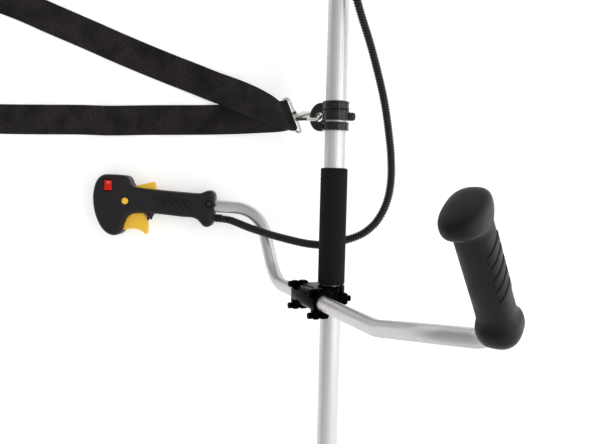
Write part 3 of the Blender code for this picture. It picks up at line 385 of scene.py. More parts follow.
class Finish:
    """A procedural material on a Principled shader, built up step by step."""

    def __init__(self, name, colour, rough, metal=0.0, specular=0.2, **sockets):
        MATERIALS[name] = bpy.data.materials.new(name)
        MATERIALS[name].use_nodes = True
        self.tree = MATERIALS[name].node_tree
        self.shader = self.tree.nodes["Principled BSDF"]
        fill(self.shader, Base_Color=(*colour, 1), Roughness=rough, Metallic=metal,
             Specular_IOR_Level=0.5 if metal else specular, **sockets)
        self.place = self.node("ShaderNodeTexCoord").outputs["Object"]

    def node(self, kind, **values):
        node = self.tree.nodes.new(kind)
        for key, value in values.items():
            setattr(node, key, value)
        return node

    def link(self, a, b):
        self.tree.links.new(a, b)

    def noise(self, scale, detail=3.0, stretch=None):
        source = self.place
        if stretch:
            mapping = fill(self.node("ShaderNodeMapping"), Scale=stretch)
            self.link(source, mapping.inputs["Vector"])
            source = mapping.outputs["Vector"]
        node = fill(self.node("ShaderNodeTexNoise"), Scale=scale, Detail=detail)
        self.link(source, node.inputs["Vector"])
        return node.outputs["Fac"]

    def ramp(self, source, low, high, start=0.3, end=0.7):
        node = fill(self.node("ShaderNodeMapRange"), From_Min=start, From_Max=end,
                    To_Min=low, To_Max=high)
        self.link(source, node.inputs["Value"])
        return node.outputs["Result"]

    def tint(self, source, other, start=0.3, end=0.7, share=1.0):
        """Mixes another colour in where the source is high."""
        mix = self.node("ShaderNodeMix", data_type="RGBA")
        self.link(self.ramp(source, 0.0, share, start, end), mix.inputs[0])
        before = self.shader.inputs["Base Color"]
        if before.is_linked:
            self.link(before.links[0].from_socket, mix.inputs[6])
        else:
            mix.inputs[6].default_value = before.default_value
        mix.inputs[7].default_value = (*other, 1)
        self.link(mix.outputs[2], before)

    def rough(self, source, low, high):
        self.link(self.ramp(source, low, high), self.shader.inputs["Roughness"])

    def bump(self, source, depth, strength=1.0):
        """Adds relief of that depth in metres."""
        node = fill(self.node("ShaderNodeBump"), Distance=depth, Strength=strength)
        self.link(source, node.inputs["Height"])
        normal = self.shader.inputs["Normal"]
        if normal.is_linked:
            self.link(normal.links[0].from_socket, node.inputs["Normal"])
        self.link(node.outputs["Normal"], normal)

    def wear_and_highlight(self, colour, share=0.5, start=0.54, end=0.62):
        """Lighter along the outer edges: worn edges on most finishes, and a painted highlight
        along the crests of the conduit's ribs.
        """
        edges = self.node("ShaderNodeNewGeometry").outputs["Pointiness"]
        self.tint(edges, colour, start, end, share)


PLASTICS = {  # colour, colour where worn or mottled, roughness, and maybe grain and specular
    "black_plastic": ((0.009, 0.008, 0.01), (0.02, 0.018, 0.022), 0.44),
    "handle": ((0.013, 0.0112, 0.0132), (0.027, 0.0235, 0.028), 0.42),
    "yellow_plastic": ((1.0, 0.595, 0.05), (1.0, 0.68, 0.09), 0.36),
    "red_plastic": ((0.66, 0.008, 0.003), (0.8, 0.035, 0.012), 0.26),
    "pale_plastic": ((0.62, 0.6, 0.52), (0.74, 0.72, 0.64), 0.36),
    "grip": ((0.0045, 0.0035, 0.0042), (0.01, 0.0085, 0.0095), 0.44, 0.0001, 0.22),
    "rubber": ((0.009, 0.0085, 0.009), (0.02, 0.019, 0.02), 0.6, 0.0001, 0.2),
    "conduit": ((0.003, 0.003, 0.0035), (0.01, 0.011, 0.013), 0.34, 0.00006, 0.22),
}
METALS = {  # colour, darker colour, roughness, stretch of the drawn lines, maybe their depth
    "tube": ((0.68, 0.67, 0.68), (0.56, 0.55, 0.56), 0.45, (1, 0.04, 1)),
    "bar": ((0.6, 0.585, 0.59), (0.48, 0.47, 0.475), 0.36, (0.5, 0.5, 0.5)),
    "cast": ((0.6, 0.6, 0.6), (0.42, 0.42, 0.43), 0.48, (1, 1, 1), 0.00005),
    "steel": ((0.46, 0.46, 0.47), (0.3, 0.29, 0.28), 0.34, (1, 12, 1)),
    "nickel": ((0.72, 0.7, 0.66), (0.5, 0.47, 0.43), 0.27, (1, 1, 1)),
    "muffler": ((0.36, 0.34, 0.32), (0.22, 0.17, 0.13), 0.45, (1, 1, 1)),
}


def plastic(name, colour, light, rough, grain=0.00006, specular=0.2):
    """Moulded plastic: spark-eroded grain, a little mottling and polished edges."""
    made = Finish(name, colour, rough, specular=specular)
    made.tint(made.noise(22, 4), light, 0.35, 0.75, 0.35)
    made.rough(made.noise(60, 3), rough - 0.06, rough + 0.1)
    made.bump(made.noise(1900, 2), grain, 0.5)
    made.wear_and_highlight(light, 0.5)
    return made


def metal(name, colour, dark, rough, stretch, brushed=0.00002):
    """Metal with fine drawn lines along one axis, and cloudy roughness."""
    made = Finish(name, colour, rough, 1.0)
    made.tint(made.noise(9, 4), dark, 0.35, 0.8, 0.35)
    made.rough(made.noise(420, 3, stretch), rough - 0.05, rough + 0.09)
    made.bump(made.noise(900, 3, stretch), brushed, 0.4)
    return made


def painted(name, colour, specular, smoothest, roughest, grain, strength, wear, share):
    """Black paint on metal: even, a little grained, and lighter along its edges."""
    made = Finish(name, colour, smoothest, specular=specular)
    made.rough(made.noise(150, 3), smoothest, roughest)
    made.bump(made.noise(700, 3), grain, strength)
    made.wear_and_highlight(wear, share)


def weave(name, along_size, across_size):
    """Woven webbing. Its UV map is in metres, U across the strap and V along it."""
    made = Finish(name, (0.0095, 0.0074, 0.0082), 0.84, specular=0.12, Sheen_Weight=0.06,
                  Sheen_Roughness=0.4)
    place = made.node("ShaderNodeUVMap").outputs["UV"]
    brick = fill(made.node("ShaderNodeTexBrick"), Scale=1.0, Brick_Width=along_size,
                 Row_Height=across_size, Mortar_Size=0.00022, Mortar_Smooth=1.0,
                 Color1=(1, 1, 1, 1), Color2=(0.45, 0.45, 0.45, 1), Mortar=(0, 0, 0, 1))
    made.link(place, brick.inputs["Vector"])
    made.tint(brick.outputs["Color"], (0.04, 0.033, 0.036), 0.0, 1.0, 0.9)
    made.tint(made.noise(30, 4), (0.008, 0.0068, 0.0073), 0.42, 0.7, 0.8)
    made.bump(brick.outputs["Color"], 0.0004, 0.9)
    made.bump(made.noise(2200, 2), 0.0001, 0.5)


def build_finishes():
    """Makes every finish. Each puts itself in MATERIALS."""
    plastics = {name: plastic(name, *values) for name, values in PLASTICS.items()}
    fill(plastics["pale_plastic"].shader, Subsurface_Weight=0.4,
         Subsurface_Radius=(0.01, 0.01, 0.008))
    # Painted highlight: a light grey along the crests of the conduit's ribs, where they would
    # catch the light.
    plastics["conduit"].wear_and_highlight((0.045, 0.048, 0.053), 0.7, 0.52, 0.6)
    metals = {name: metal(name, *values) for name, values in METALS.items()}
    metals["cast"].bump(metals["cast"].noise(420, 4), 0.0003, 0.5)
    scale = metals["muffler"]
    scale.tint(scale.noise(45, 5), (0.3, 0.18, 0.09), 0.5, 0.8, 0.6)
    painted("black_metal", (0.002, 0.0018, 0.0025), 0.42, 0.08, 0.14, 0.00002, 0.2,
            (0.018, 0.018, 0.02), 0.4)
    painted("black_cast", (0.0004, 0.0004, 0.0005), 0.015, 0.14, 0.28, 0.00006, 0.3,
            (0.005, 0.005, 0.0055), 0.25)

    foam = Finish("foam", (0.007, 0.006, 0.0065), 0.92, specular=0.1, Sheen_Weight=0.04)
    cells = fill(foam.node("ShaderNodeTexVoronoi"), Scale=1100)
    foam.link(foam.place, cells.inputs["Vector"])
    foam.tint(cells.outputs["Distance"], (0.017, 0.014, 0.016), 0.2, 0.9, 0.8)
    foam.bump(cells.outputs["Distance"], 0.0004, 0.8)
    foam.bump(foam.noise(70, 4), 0.0008, 0.3)

    weave("webbing", 0.003, 0.0017)
    weave("pad", 0.0012, 0.0012)
    line = Finish("nylon_line", (0.8, 0.26, 0.03), 0.28, Transmission_Weight=0.2)
    line.rough(line.noise(300), 0.22, 0.38)
    mark = Finish("pale_mark", (0.9, 0.72, 0.66), 0.4)
    mark.rough(mark.noise(200), 0.35, 0.5)
    thread = Finish("thread", (0.06, 0.055, 0.055), 0.8)
    thread.bump(thread.noise(1500), 0.0002, 0.6)
    rope = Finish("rope", (0.08, 0.07, 0.06), 0.85)
    rope.bump(rope.noise(1200, 3, (3, 3, 0.4)), 0.0005, 0.8)


def dress(mesh, finish, angle=35):
    """Gives a mesh its finish and smooth shading, but for edges sharper than the angle."""
    mesh.materials.clear()
    mesh.materials.append(MATERIALS[finish])
    mesh.shade_smooth()
    mesh.set_sharp_from_angle(angle=radians(angle))


def placed(name, mesh, finish, where, angle=35):
    """A finished piece, moved from its own frame to the row frame."""
    mesh.transform(FRAMES[where])
    mesh.name = name
    dress(mesh, finish, angle)
    obj = added(mesh, name)
    return obj


def piece(name, mesh, finish, replaces=(), body="machine", where="floor", angle=35):
    """A finished piece that hangs on a body and may stand for some of the CAD's nodes."""
    obj = placed(name, mesh, finish, where, angle)
    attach(obj, body)
    if replaces:
        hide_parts(*replaces)
    return obj


# Throttle cable: a corrugated conduit from the throttle handle to the carburettor

CABLE_R = 0.006
CABLE_PITCH = 0.0036
CABLE_ROUTE = [  # in millimetres
    (-165.5, 107, 18.5), (-153.3, 105.5, 23), (-137, 100.8, 35), (-120, 96, 49), (-103, 92, 60),
    (-86.8, 88, 68), (-70.9, 84.8, 76), (-55.5, 82.2, 85.5), (-40.3, 80, 95), (-25.4, 79, 104.5),
    (-11, 79.6, 113), (5, 83, 121), (20.6, 88.8, 128), (31.9, 93, 132), (44.7, 99.9, 136),
    (57, 111.2, 141), (65, 123.2, 145), (71.2, 136.7, 148), (74.9, 150, 150), (77, 164, 152.5),
    (77.6, 180.5, 155), (76.7, 197.6, 157), (73.5, 225, 160), (63.1, 280.2, 166),
    (44.5, 344, 172), (23.3, 404.2, 177), (5, 470, 186), (-8, 530, 201), (-16, 580, 219),
    (-21, 620, 232), (-23.7, 654, 237.6),
]


def even_steps(line, step):
    """Points an equal distance apart along a polyline."""
    result = [line[0]]
    left = step
    for a, b in zip(line, line[1:]):
        run = (b - a).length
        travelled = 0.0
        while run - travelled >= left:
            travelled += left
            result.append(a.lerp(b, travelled / run))
            left = step
        left -= run - travelled
    return result


def hose(line, radii, sides=16):
    """A closed tube with its own radius at each point."""
    rings = []
    side = (line[1] - line[0]).normalized().orthogonal().normalized()
    for i, (centre, radius) in enumerate(zip(line, radii)):
        ahead = (line[min(i + 1, len(line) - 1)] - line[max(i - 1, 0)]).normalized()
        side = (side - ahead * side.dot(ahead)).normalized()
        other = ahead.cross(side)
        rings.append([centre + radius * (side * cos(a) + other * sin(a))
                      for a in [tau * k / sides for k in range(sides)]])
    return skinned(rings)


def throttle_cable():
    """A corrugated tube: half of each pitch is a ridge and half a groove."""
    route = [point * MM for point in smooth_route(CABLE_ROUTE, 4)]
    line = even_steps(route, CABLE_PITCH / 4)
    waves = [CABLE_R, CABLE_R, CABLE_R - 0.0015, CABLE_R - 0.0015]
    radii = [waves[i % 4] for i in range(len(line))]
    obj = piece("cable_conduit", hose(line, radii), "conduit", ["throttle_cable"], angle=60)


# Foam sleeve on the shaft


def foam_sleeve():
    """A soft tube with rounded ends and a slightly uneven side."""
    inner, outer = TUBE_R / MM + 0.3, 18.25
    low, high = 30.5, 188.5
    rim, chamfer, uneven, steps = 2.2, 0.7, 0.16, 60
    side = [(outer + uneven * sin(9.1 * i) * sin(0.37 * i),
             high - rim + (low - high + 2 * rim) * i / steps) for i in range(steps + 1)]
    profile = ([(outer - rim, high), (outer - chamfer, high - chamfer)] + side
               + [(outer - chamfer, low + chamfer), (outer - rim, low), (inner, low),
                  (inner, high)])
    obj = piece("sleeve_foam", turned(profile, axis=Y, steps=64), "foam", ["foam_sleeve"],
                where="machine")


# Shaft hanger, hook and harness

HANGER_Y = 0.258
HANGER_HALF = 0.0194
EYE_TURN = radians(-40)
EYE_OUT = Vector((-cos(EYE_TURN), 0, sin(EYE_TURN)))
EYE_RADIUS = 0.027
EYE_HOLE_R = 0.0065
SHAFT_POINT = Vector((0, HANGER_Y, SHAFT_HEIGHT))
EYE_POINT = SHAFT_POINT + EYE_OUT * EYE_RADIUS
EYE_NORMAL = EYE_OUT.cross(Y)
RING_POINT = Vector((-0.06, 0.263, 0.102))
HOOK_AXIS = (RING_POINT - EYE_POINT).normalized()
HOOK_SIDE = (EYE_NORMAL - HOOK_AXIS * EYE_NORMAL.dot(HOOK_AXIS)).normalized()
HOOK_FRAME = (Matrix.Translation(EYE_POINT)
              @ Matrix((HOOK_AXIS, HOOK_SIDE, HOOK_AXIS.cross(HOOK_SIDE))).transposed().to_4x4()
              @ Matrix.Rotation(radians(-32), 4, "X"))
HOOK_HALF = 0.0075
RING_LEAN = Vector((0.26, -0.8, -0.54))
RING_LONG = (RING_LEAN - HOOK_AXIS * HOOK_AXIS.dot(RING_LEAN)).normalized()
RING_UP = HOOK_AXIS.cross(RING_LONG)
RING_NEAR = 0.047
RING_DEEP = 0.0125
FAR_BAR = EYE_POINT + HOOK_AXIS * (RING_NEAR + RING_DEEP)


def band_ring(low, high):
    """A rounded ring on the shaft with a raised rib along each rim."""
    low, high = low / MM, high / MM
    outer, bore, rim, step = 18.3, TUBE_R / MM + 0.2, 0.9, 0.6
    profile = [(outer - rim, high), (outer, high - rim), (outer, high - 2.4),
               (outer - step, high - 2.9), (outer - step, low + 2.9), (outer, low + 2.4),
               (outer, low + rim), (outer - rim, low), (bore, low), (bore, high)]
    return turned(profile, SHAFT_POINT, Y, 64)


def hanger():
    """A plate with the eye between two rings, a middle band and its bolt."""
    plate_frame = Matrix((EYE_OUT, Y, EYE_NORMAL)).transposed().to_4x4()
    plate_frame.translation = SHAFT_POINT
    outline = [(0.016, -HANGER_HALF), *arc((0.0245, 0), HANGER_HALF, -90, 90, 36),
               (0.016, HANGER_HALF)]
    eye = cut(plate(outline, -0.0025, 0.0025, 0.0008, 0.0008, 3),
              rod((EYE_RADIUS, 0, -0.01), (EYE_RADIUS, 0, 0.01), EYE_HOLE_R, 40),
              rod((0, -0.0068, 0), (0, 0.0072, 0), 0.0189, 48))
    bands = [band_ring(-HANGER_HALF, -0.0083), band_ring(0.0082, HANGER_HALF)]
    piece("hanger_loop", merged(moved(eye, plate_frame), *bands), "black_metal", ["hanger_eye"])
    boss = turned([(0, 19.2), (5, 19.2), (6, 18.6), (6, 15), (0, 15)], SHAFT_POINT, X, 32)
    piece("hanger_middle", merged(band_ring(-0.0062, 0.008), boss), "black_metal",
          ["hanger_band"])
    bolt = turned([(0, 26.8), (2, 26.7), (3.8, 26.2), (5, 25.2), (5.7, 23.6), (5.8, 19.3),
                   (2.2, 19.3), (2.2, 14.6), (0, 14.6)], SHAFT_POINT, X, 36)
    piece("hanger_screw", bolt, "black_metal", ["hanger_bolt"])


def snap_hook():
    """A flat-bodied swivel hook through the eye: x runs from the eye to the strap's ring."""
    outline = [(0.0425, -0.0042), (0.0425, 0.0078), (0.0405, 0.0096), (0.034, 0.01),
               (0.018, 0.0096), (0.018, 0.0054), (0.026, 0.003), (0.0345, -0.0048)]
    body = plate(outline, -0.0034, 0.0034, 0.0014, 0.0014, 4)
    rivet = turned([(0, 4.4), (1.8, 4.2), (2.4, 3), (0, 3)], (0.037, 0.003, 0), steps=24)
    wire = [(0.03, 0.0066), (0.019, HOOK_HALF), (0.0085, HOOK_HALF),
            *arc((0.0058, 0), HOOK_HALF, 112, 248, 16), (0.0085, -HOOK_HALF), (0.0165, -HOOK_HALF)]
    hook = merged(body, rivet, swept([Vector((x, y, 0)) for x, y in wire], 0.0023))
    piece("hook_body", moved(hook, HOOK_FRAME), "nickel", ["snap_hook"], "hook")
    lever = [(0.0172, -0.0016), (0.0172, 0.0012), (0.03, 0.0014), (0.0345, 0.002),
             (0.0385, 0.0016), (0.0385, -0.0016), (0.034, -0.0038), (0.03, -0.003),
             (0.024, -0.0016)]
    gate = plate([(x, y - HOOK_HALF) for x, y in lever], -0.0018, 0.0018, 0.0006, 0.0006, 2)
    piece("hook_gate", moved(gate, HOOK_FRAME), "black_metal", ["snap_gate"], "gate")


def swivel_ring():
    """The strap's wire ring, with the swivel's collar and stem."""
    near = EYE_POINT + HOOK_AXIS * RING_NEAR
    deep, half, corner = RING_DEEP, 0.0275, 0.0055
    far = deep - corner
    rectangle = [point for x, side, start in ((far, 1, 0), (corner, 1, 90), (corner, -1, 180),
                                              (far, -1, 270))
                 for point in arc((x, side * (half - corner)), corner, start, start + 90, 8)]
    route = [near + HOOK_AXIS * x + RING_LONG * y for x, y in rectangle]
    stem = rod(EYE_POINT + HOOK_AXIS * 0.0365, near + HOOK_AXIS * 0.001, 0.0019, 24)
    collar = turned([(0, 3.8), (3.6, 3.8), (4.6, 3), (4.6, 0.6), (3.6, 0), (0, 0)],
                    near - HOOK_AXIS * 0.004, HOOK_AXIS, 28)
    ring = merged(swept(route, 0.0019, cyclic=True), collar, stem)
    piece("strap_ring", ring, "nickel", ["swivel_ring"], "harness")
    # A black sleeve at the swivel's end on the ring's near bar; its dark also stands in as painted
    # shade inside the ring.
    head = rod(near - RING_LONG * 0.0068, near + RING_LONG * 0.0068, 0.0029, 28)
    piece("ring_sleeve_and_shade", head, "black_metal", body="harness")


def ribbon(rungs, spacing=0.005, width=WEB_WIDTH, thick=WEB_THICK):
    """A flat strap through rungs of (centre of its underside, direction across it)."""
    centres = [Vector(c) for c, _ in rungs]
    sides = [Vector(a).normalized() for _, a in rungs]
    ends = [(2 * centres[0] - centres[1], sides[0])] + list(zip(centres, sides))
    ends.append((2 * centres[-1] - centres[-2], sides[-1]))
    line = []
    for before, here, there, after in zip(ends, ends[1:], ends[2:], ends[3:]):
        steps = max(1, round((there[0] - here[0]).length / spacing))
        for i in range(steps):
            line.append(tuple(along(before[k], here[k], there[k], after[k], i / steps)
                              for k in (0, 1)))
    line.append((centres[-1], sides[-1]))
    bm = bmesh.new()
    uv = bm.loops.layers.uv.new("UVMap")
    section = [(-0.5, 0.5), (-0.47, 0), (-0.25, 0), (0, 0), (0.25, 0), (0.47, 0), (0.5, 0.5),
               (0.47, 1), (0.25, 1), (0, 1), (-0.25, 1), (-0.47, 1)]
    rings, run, place = [], [], 0.0
    up = None
    for i, (centre, side) in enumerate(line):
        side = side.normalized()
        ahead = line[min(i + 1, len(line) - 1)][0] - line[max(i - 1, 0)][0]
        normal = ahead.cross(side).normalized()
        if up is None:
            up = normal if normal.z > 0 else -normal
        up = normal if normal.dot(up) > 0 else -normal
        rings.append([bm.verts.new(centre + side * width * s + up * thick * h)
                      for s, h in section])
        run.append(place)
        if i + 1 < len(line):
            place += (line[i + 1][0] - centre).length
    count = len(section)
    for i, (one, two) in enumerate(zip(rings, rings[1:])):
        for k in range(count):
            n = (k + 1) % count
            face = bm.faces.new((one[k], one[n], two[n], two[k]))
            for loop, (j, v) in zip(face.loops, ((k, i), (n, i), (n, i + 1), (k, i + 1))):
                loop[uv].uv = (section[j][0] * width + 0.1, run[v])
    for ring, v in ((rings[0], 0), (rings[-1], -1)):
        face = bm.faces.new(ring)
        for loop, (s, _) in zip(face.loops, section):
            loop[uv].uv = (s * width + 0.1, run[v])
    return finished(bm), place


def stitches(points, up, length=0.0028, gap=0.0014, radius=0.00032):
    """A row of stitches along a line on a strap."""
    meshes = []
    for a, b in zip(points, points[1:]):
        a, b = Vector(a), Vector(b)
        count = int((b - a).length / (length + gap))
        for i in range(count):
            start = a.lerp(b, (i * (length + gap)) / (b - a).length)
            end = start + (b - a).normalized() * length
            lift = Vector(up) * radius
            meshes.append(swept([start - lift, start + lift, end + lift, end - lift], radius, 1))
    return meshes


def harness():
    """One webbing strap runs from the shoulder, round the ring's bar and back."""
    flat_front, flat_rear = (0.35, 0.937, 0), (0, 1, 0)
    front = [((-745, 523.9, 0.4), flat_front), ((-660, 492.1, 0.4), flat_front),
             ((-630, 480.9, 2.6), flat_front), ((-580, 462.2, 2.6), flat_front),
             ((-545, 452.5, 0.4), flat_front), ((-490, 434, 1.2), (0.38, 0.925, 0)),
             ((-440, 413.6, 2), (0.4, 0.917, 0)), ((-385, 391.8, 0.6), flat_front),
             ((-330, 369.2, 2.2), flat_front), ((-270, 346.2, 1), flat_front),
             ((-215, 326, 3.4), flat_front), ((-185, 314.5, 8), flat_front),
             ((-155, 303, 23), (0.3, 0.94, 0.1)), ((-120, 288, 47), (0.15, 0.93, 0.25)),
             ((-86, 272, 74), (-0.1, 0.88, 0.4))]
    front = [(Vector(place) * MM, side) for place, side in front]
    wrap = FAR_BAR + HOOK_AXIS * 0.002
    front.append((wrap + RING_UP * 0.003, -RING_LONG))
    loop_radius = 0.0028
    loop = [(FAR_BAR + loop_radius * (RING_UP * cos(a) - HOOK_AXIS * sin(a)), -RING_LONG)
            for a in (radians(45), radians(90), radians(135))]
    rear = [((-80, 264, 64), (-0.15, 0.88, 0.4)), ((-112, 265, 33), (-0.03, 0.97, 0.2)),
            ((-145, 264.5, 12), (0, 1, 0.05)), ((-178, 263.5, 4), flat_rear),
            ((-210, 262.5, 1), flat_rear), ((-250, 261.2, 3), (0.05, 1, 0.02)),
            ((-295, 260.2, 0.8), (-0.04, 1, 0)), ((-350, 257.8, 4), (0.05, 1, 0.03)),
            ((-400, 258.4, 0.8), (-0.04, 1, 0)), ((-455, 257.2, 2.4), (0.02, 1, 0)),
            ((-520, 256.5, 0.4), flat_rear), ((-630, 256, 1), flat_rear),
            ((-745, 256, 0.4), flat_rear)]
    rear = [(Vector(place) * MM + WEB_THICK * Z, side) for place, side in rear]
    rear.insert(0, (wrap - RING_UP * 0.003, -RING_LONG))
    mesh, length = ribbon(front + loop + rear)
    strap = piece("strap_webbing", mesh, "webbing", ["strap_front", "strap_rear"], "harness")
    side = [((-0.72, 0.23, 0.003), X), ((-0.72, 0.32, 0.003), X),
            ((-0.72, 0.45, 0.003), X), ((-0.72, 0.544, 0.003), X)]
    mesh, length = ribbon(side)
    cross = piece("strap_back", mesh, "webbing", ["strap_side"], "harness")
    rows = []
    for low, high in ((0.236, 0.276), (0.5, 0.539)):
        corners = [(-0.739, low, 0.0051), (-0.701, low, 0.0051), (-0.701, high, 0.0051),
                   (-0.739, high, 0.0051)]
        rows += stitches(corners + corners[:1], Z)
        rows += stitches([corners[0], corners[2]], Z) + stitches([corners[1], corners[3]], Z)
    piece("strap_stitching", merged(*rows), "thread", body="harness")


def shoulder_pad():
    """A stuffed pad with a sewn border and three channels across it."""
    low, high = Vector((-0.756, 0.285, 0.0055)), Vector((-0.684, 0.48, 0.0175))
    columns, rows = 36, 96
    bm = bmesh.new()
    uv = bm.loops.layers.uv.new("UVMap")
    middle = (low.z + high.z) / 2

    def surface(i, j, side):
        u, v = 2 * i / columns - 1, 2 * j / rows - 1
        border = (1 - u ** 6) * (1 - v ** 10)
        crown = max(border, 0) ** 0.45
        seam = min(abs(v - s) for s in (-0.5, 0.0, 0.5))
        crown *= 1 - 0.42 * exp(-(seam / 0.022) ** 2)
        crown *= 1 - 0.3 * exp(-((1 - abs(u)) - 0.16) ** 2 / 0.0012)
        pull = 1 - 0.02 * (1 - abs(v)) * (1 if abs(u) > 0.99 else 0)
        x = (low.x + high.x) / 2 + u * pull * (high.x - low.x) / 2
        y = (low.y + high.y) / 2 + v * (high.y - low.y) / 2
        return Vector((x, y, middle + side * crown * (high.z - low.z) / 2))

    grids = [[[bm.verts.new(surface(i, j, side)) for i in range(columns + 1)]
              for j in range(rows + 1)] for side in (1, -1)]
    for grid in grids:
        for j in range(rows):
            for i in range(columns):
                face = bm.faces.new((grid[j][i], grid[j][i + 1], grid[j + 1][i + 1],
                                     grid[j + 1][i]))
                for loop in face.loops:
                    loop[uv].uv = loop.vert.co.xy + Vector((1, 0))
    bmesh.ops.remove_doubles(bm, verts=bm.verts, dist=0.00001)
    obj = piece("pad_cushion", finished(bm), "pad", ["shoulder_pad"], "harness", angle=80)


# Handlebar, its clamp and the plain grip

BAR_Y, BAR_Z = 0.0156, 0.03627
CLAMP_LOW, CLAMP_HIGH = 0.001, 0.0298
EAR_LOW, EAR_HIGH = -0.0068, 0.033
BAR_SCREWS = (-0.0275, 0.043)


def handlebar():
    line = smooth_route(filleted(BAR_CORNERS, BAR_BENDS), 0.02)
    piece("bar_tube", swept(line, BAR_R, 14), "bar", ["handlebar"])


def capscrew(at, axis, length):
    """A screw with a socket in its head. Its length is in millimetres."""
    return turned([(0, 2.4), (2.1, 2.4), (2.1, 5), (3.6, 5), (4.2, 4.4), (4.2, 0), (2.3, 0),
                   (2.3, -length), (0, -length)], at, axis, 32)


def ears(low, high, edge):
    """The two blocks across the clamp that its screws go through."""
    return [block((x - 0.0062, EAR_LOW, low), (x + 0.0062, EAR_HIGH, high), edge)
            for x in BAR_SCREWS]


def clamp():
    """A saddle between the tubes, a cap on each tube, and their screws."""
    shaft_bore = rod((0, -0.05, 0), (0, 0.08, 0), TUBE_R + 0.0002, 64)
    bar_bore = rod((-0.08, BAR_Y, BAR_Z), (0.08, BAR_Y, BAR_Z), BAR_R + 0.0002, 48)
    split, edge = 0.0004, 0.0028

    lip = [(9.8, 55), (11.4, 55), (13, 54.2), (13.4, 52.5), (13.4, -20.5), (13, -22.5),
           (11.4, -23.5), (9.8, -23.5)]
    cap = joined(turned(lip, (0, BAR_Y, BAR_Z), X, 64), *ears(BAR_Z + split, 0.0462, edge))
    cap = cut(cap, block((-0.06, -0.02, 0), (0.07, 0.06, BAR_Z + split)), bar_bore)
    saddle = joined(block((-0.0335, CLAMP_LOW, 0.02), (0.049, CLAMP_HIGH, BAR_Z - split), edge),
                    *ears(0.024, BAR_Z - split, edge),
                    block((-0.028, CLAMP_LOW, 0.0006), (0.028, CLAMP_HIGH, 0.024), edge))
    collar = [(14.2, 29.8), (17.2, 29.8), (18.5, 28.5), (18.5, 2.3), (17.2, 1), (14.2, 1)]
    lower = joined(block((-0.028, 0.006, -0.0132), (0.028, 0.022, -0.0002), edge),
                   turned(collar, axis=Y, steps=64))
    lower = cut(lower, block((-0.05, -0.02, -0.0002), (0.05, 0.06, 0.05)), shaft_bore)
    heads = [capscrew((x, y, 0.0465), Z, 24) for x in BAR_SCREWS for y in (-0.002, 0.0282)]
    feet = [capscrew((x, 0.014, -0.0135), -Z, 30) for x in (-0.0215, 0.0215)]
    for name, mesh, nodes in (
            ("clamp_top", cap, ["clamp_bar_cap"]),
            ("clamp_middle", cut(saddle, shaft_bore, bar_bore), ["clamp_saddle"]),
            ("clamp_bottom", lower, ["clamp_shaft_cap"]),
            ("clamp_screws_top", merged(*heads), [f"bar_screw_{k}" for k in (1, 2, 3, 4)]),
            ("clamp_screws_bottom", merged(*feet), ["shaft_screw_1", "shaft_screw_2"])):
        piece(name, mesh, "black_cast", nodes, where="machine")


PALM_TURN = radians(-18)
GRIP_LEVELS = [  # height, half widths across and along the flares, shift, in millimetres
    (2.0, 4.0, 5.0, 0), (3.0, 8.0, 10.0, 0), (5.0, 12.5, 14.5, 0), (9.0, 16.5, 18.5, 0),
    (13.5, 18.6, 21.2, 0), (18.0, 19.5, 22.2, 0), (22.0, 19.5, 22.2, 0), (26.0, 19.0, 21.2, 0),
    (29.5, 17.8, 18.8, 0), (33.0, 16.9, 17.2, 0), (38.0, 16.4, 16.5, 0), (60.0, 16.3, 16.3, 0),
    (90.0, 16.3, 16.3, 0), (118.0, 16.3, 16.3, 0), (125.0, 16.3, 16.8, -0.3),
    (128.5, 16.7, 20.0, -1.6), (132.0, 17.5, 25.0, -3.2), (136.5, 18.2, 28.0, -4.0),
    (142.0, 18.4, 28.6, -4.2), (146.0, 17.7, 27.4, -4.0), (149.3, 15.6, 23.6, -3.6),
    (151.3, 11.5, 17.5, -3.0), (152.3, 6.5, 10.0, -3.0), (152.6, 1.8, 3.0, -3.0),
]
GRIP_PROFILE = [tuple(p) for p in smooth_route(GRIP_LEVELS, 1.6)]
GRIP_FACE = radians(-30)


def grip_point(height, angle, proud=0.0):
    """A point on the plain grip's surface, or a little way above it."""
    levels = GRIP_PROFILE
    k = max(1, next((i for i, row in enumerate(levels) if row[0] >= height), len(levels) - 1))
    before, after = levels[k - 1], levels[k]
    t = min(max((height - before[0]) / (after[0] - before[0]), 0), 1)
    _, across, deep, shift = [p + (q - p) * t for p, q in zip(before, after)]
    power = 2 / 2.5
    c, s = cos(angle - PALM_TURN), sin(angle - PALM_TURN)
    point = Vector(((across + proud) * copysign(abs(c) ** power, c),
                    (deep + proud) * copysign(abs(s) ** power, s) + shift, height)) * MM
    return Matrix.Rotation(PALM_TURN, 3, "Z") @ point


def plain_grip():
    """The right handle: a rubber grip with five raised panels on each of two faces."""
    sides = 72
    rings = [[grip_point(row[0], tau * k / sides) for k in range(sides)]
             for row in GRIP_PROFILE]
    piece("grip_body", skinned(rings), "grip", ["plain_grip"], where="grip", angle=50)
    panels = [grip_panel(centre, 60.0 + 11.6 * i)
              for centre in (GRIP_FACE, GRIP_FACE + radians(145)) for i in range(5)]
    piece("grip_panels", merged(*panels), "grip", where="grip")


def grip_panel(centre, height):
    """A slanted raised panel on the grip's face, in millimetres."""
    columns, rows = 28, 18
    half_length, half_width, slant = 14, 4.9, 6.2
    reach, rise, slope, sunk = radians(40), 1.3, 1.1, 0.5

    def point(u, v):
        edge = min(half_length * (1 - abs(u)), half_width * (1 - abs(v)))
        return grip_point(height + v * half_width + u * slant, centre + u * reach,
                          rise * min(1, edge / slope) - sunk)

    return skinned([[point(2 * i / columns - 1, 2 * j / rows - 1) for j in range(rows + 1)]
                    for i in range(columns + 1)], closed=False)


# Throttle handle

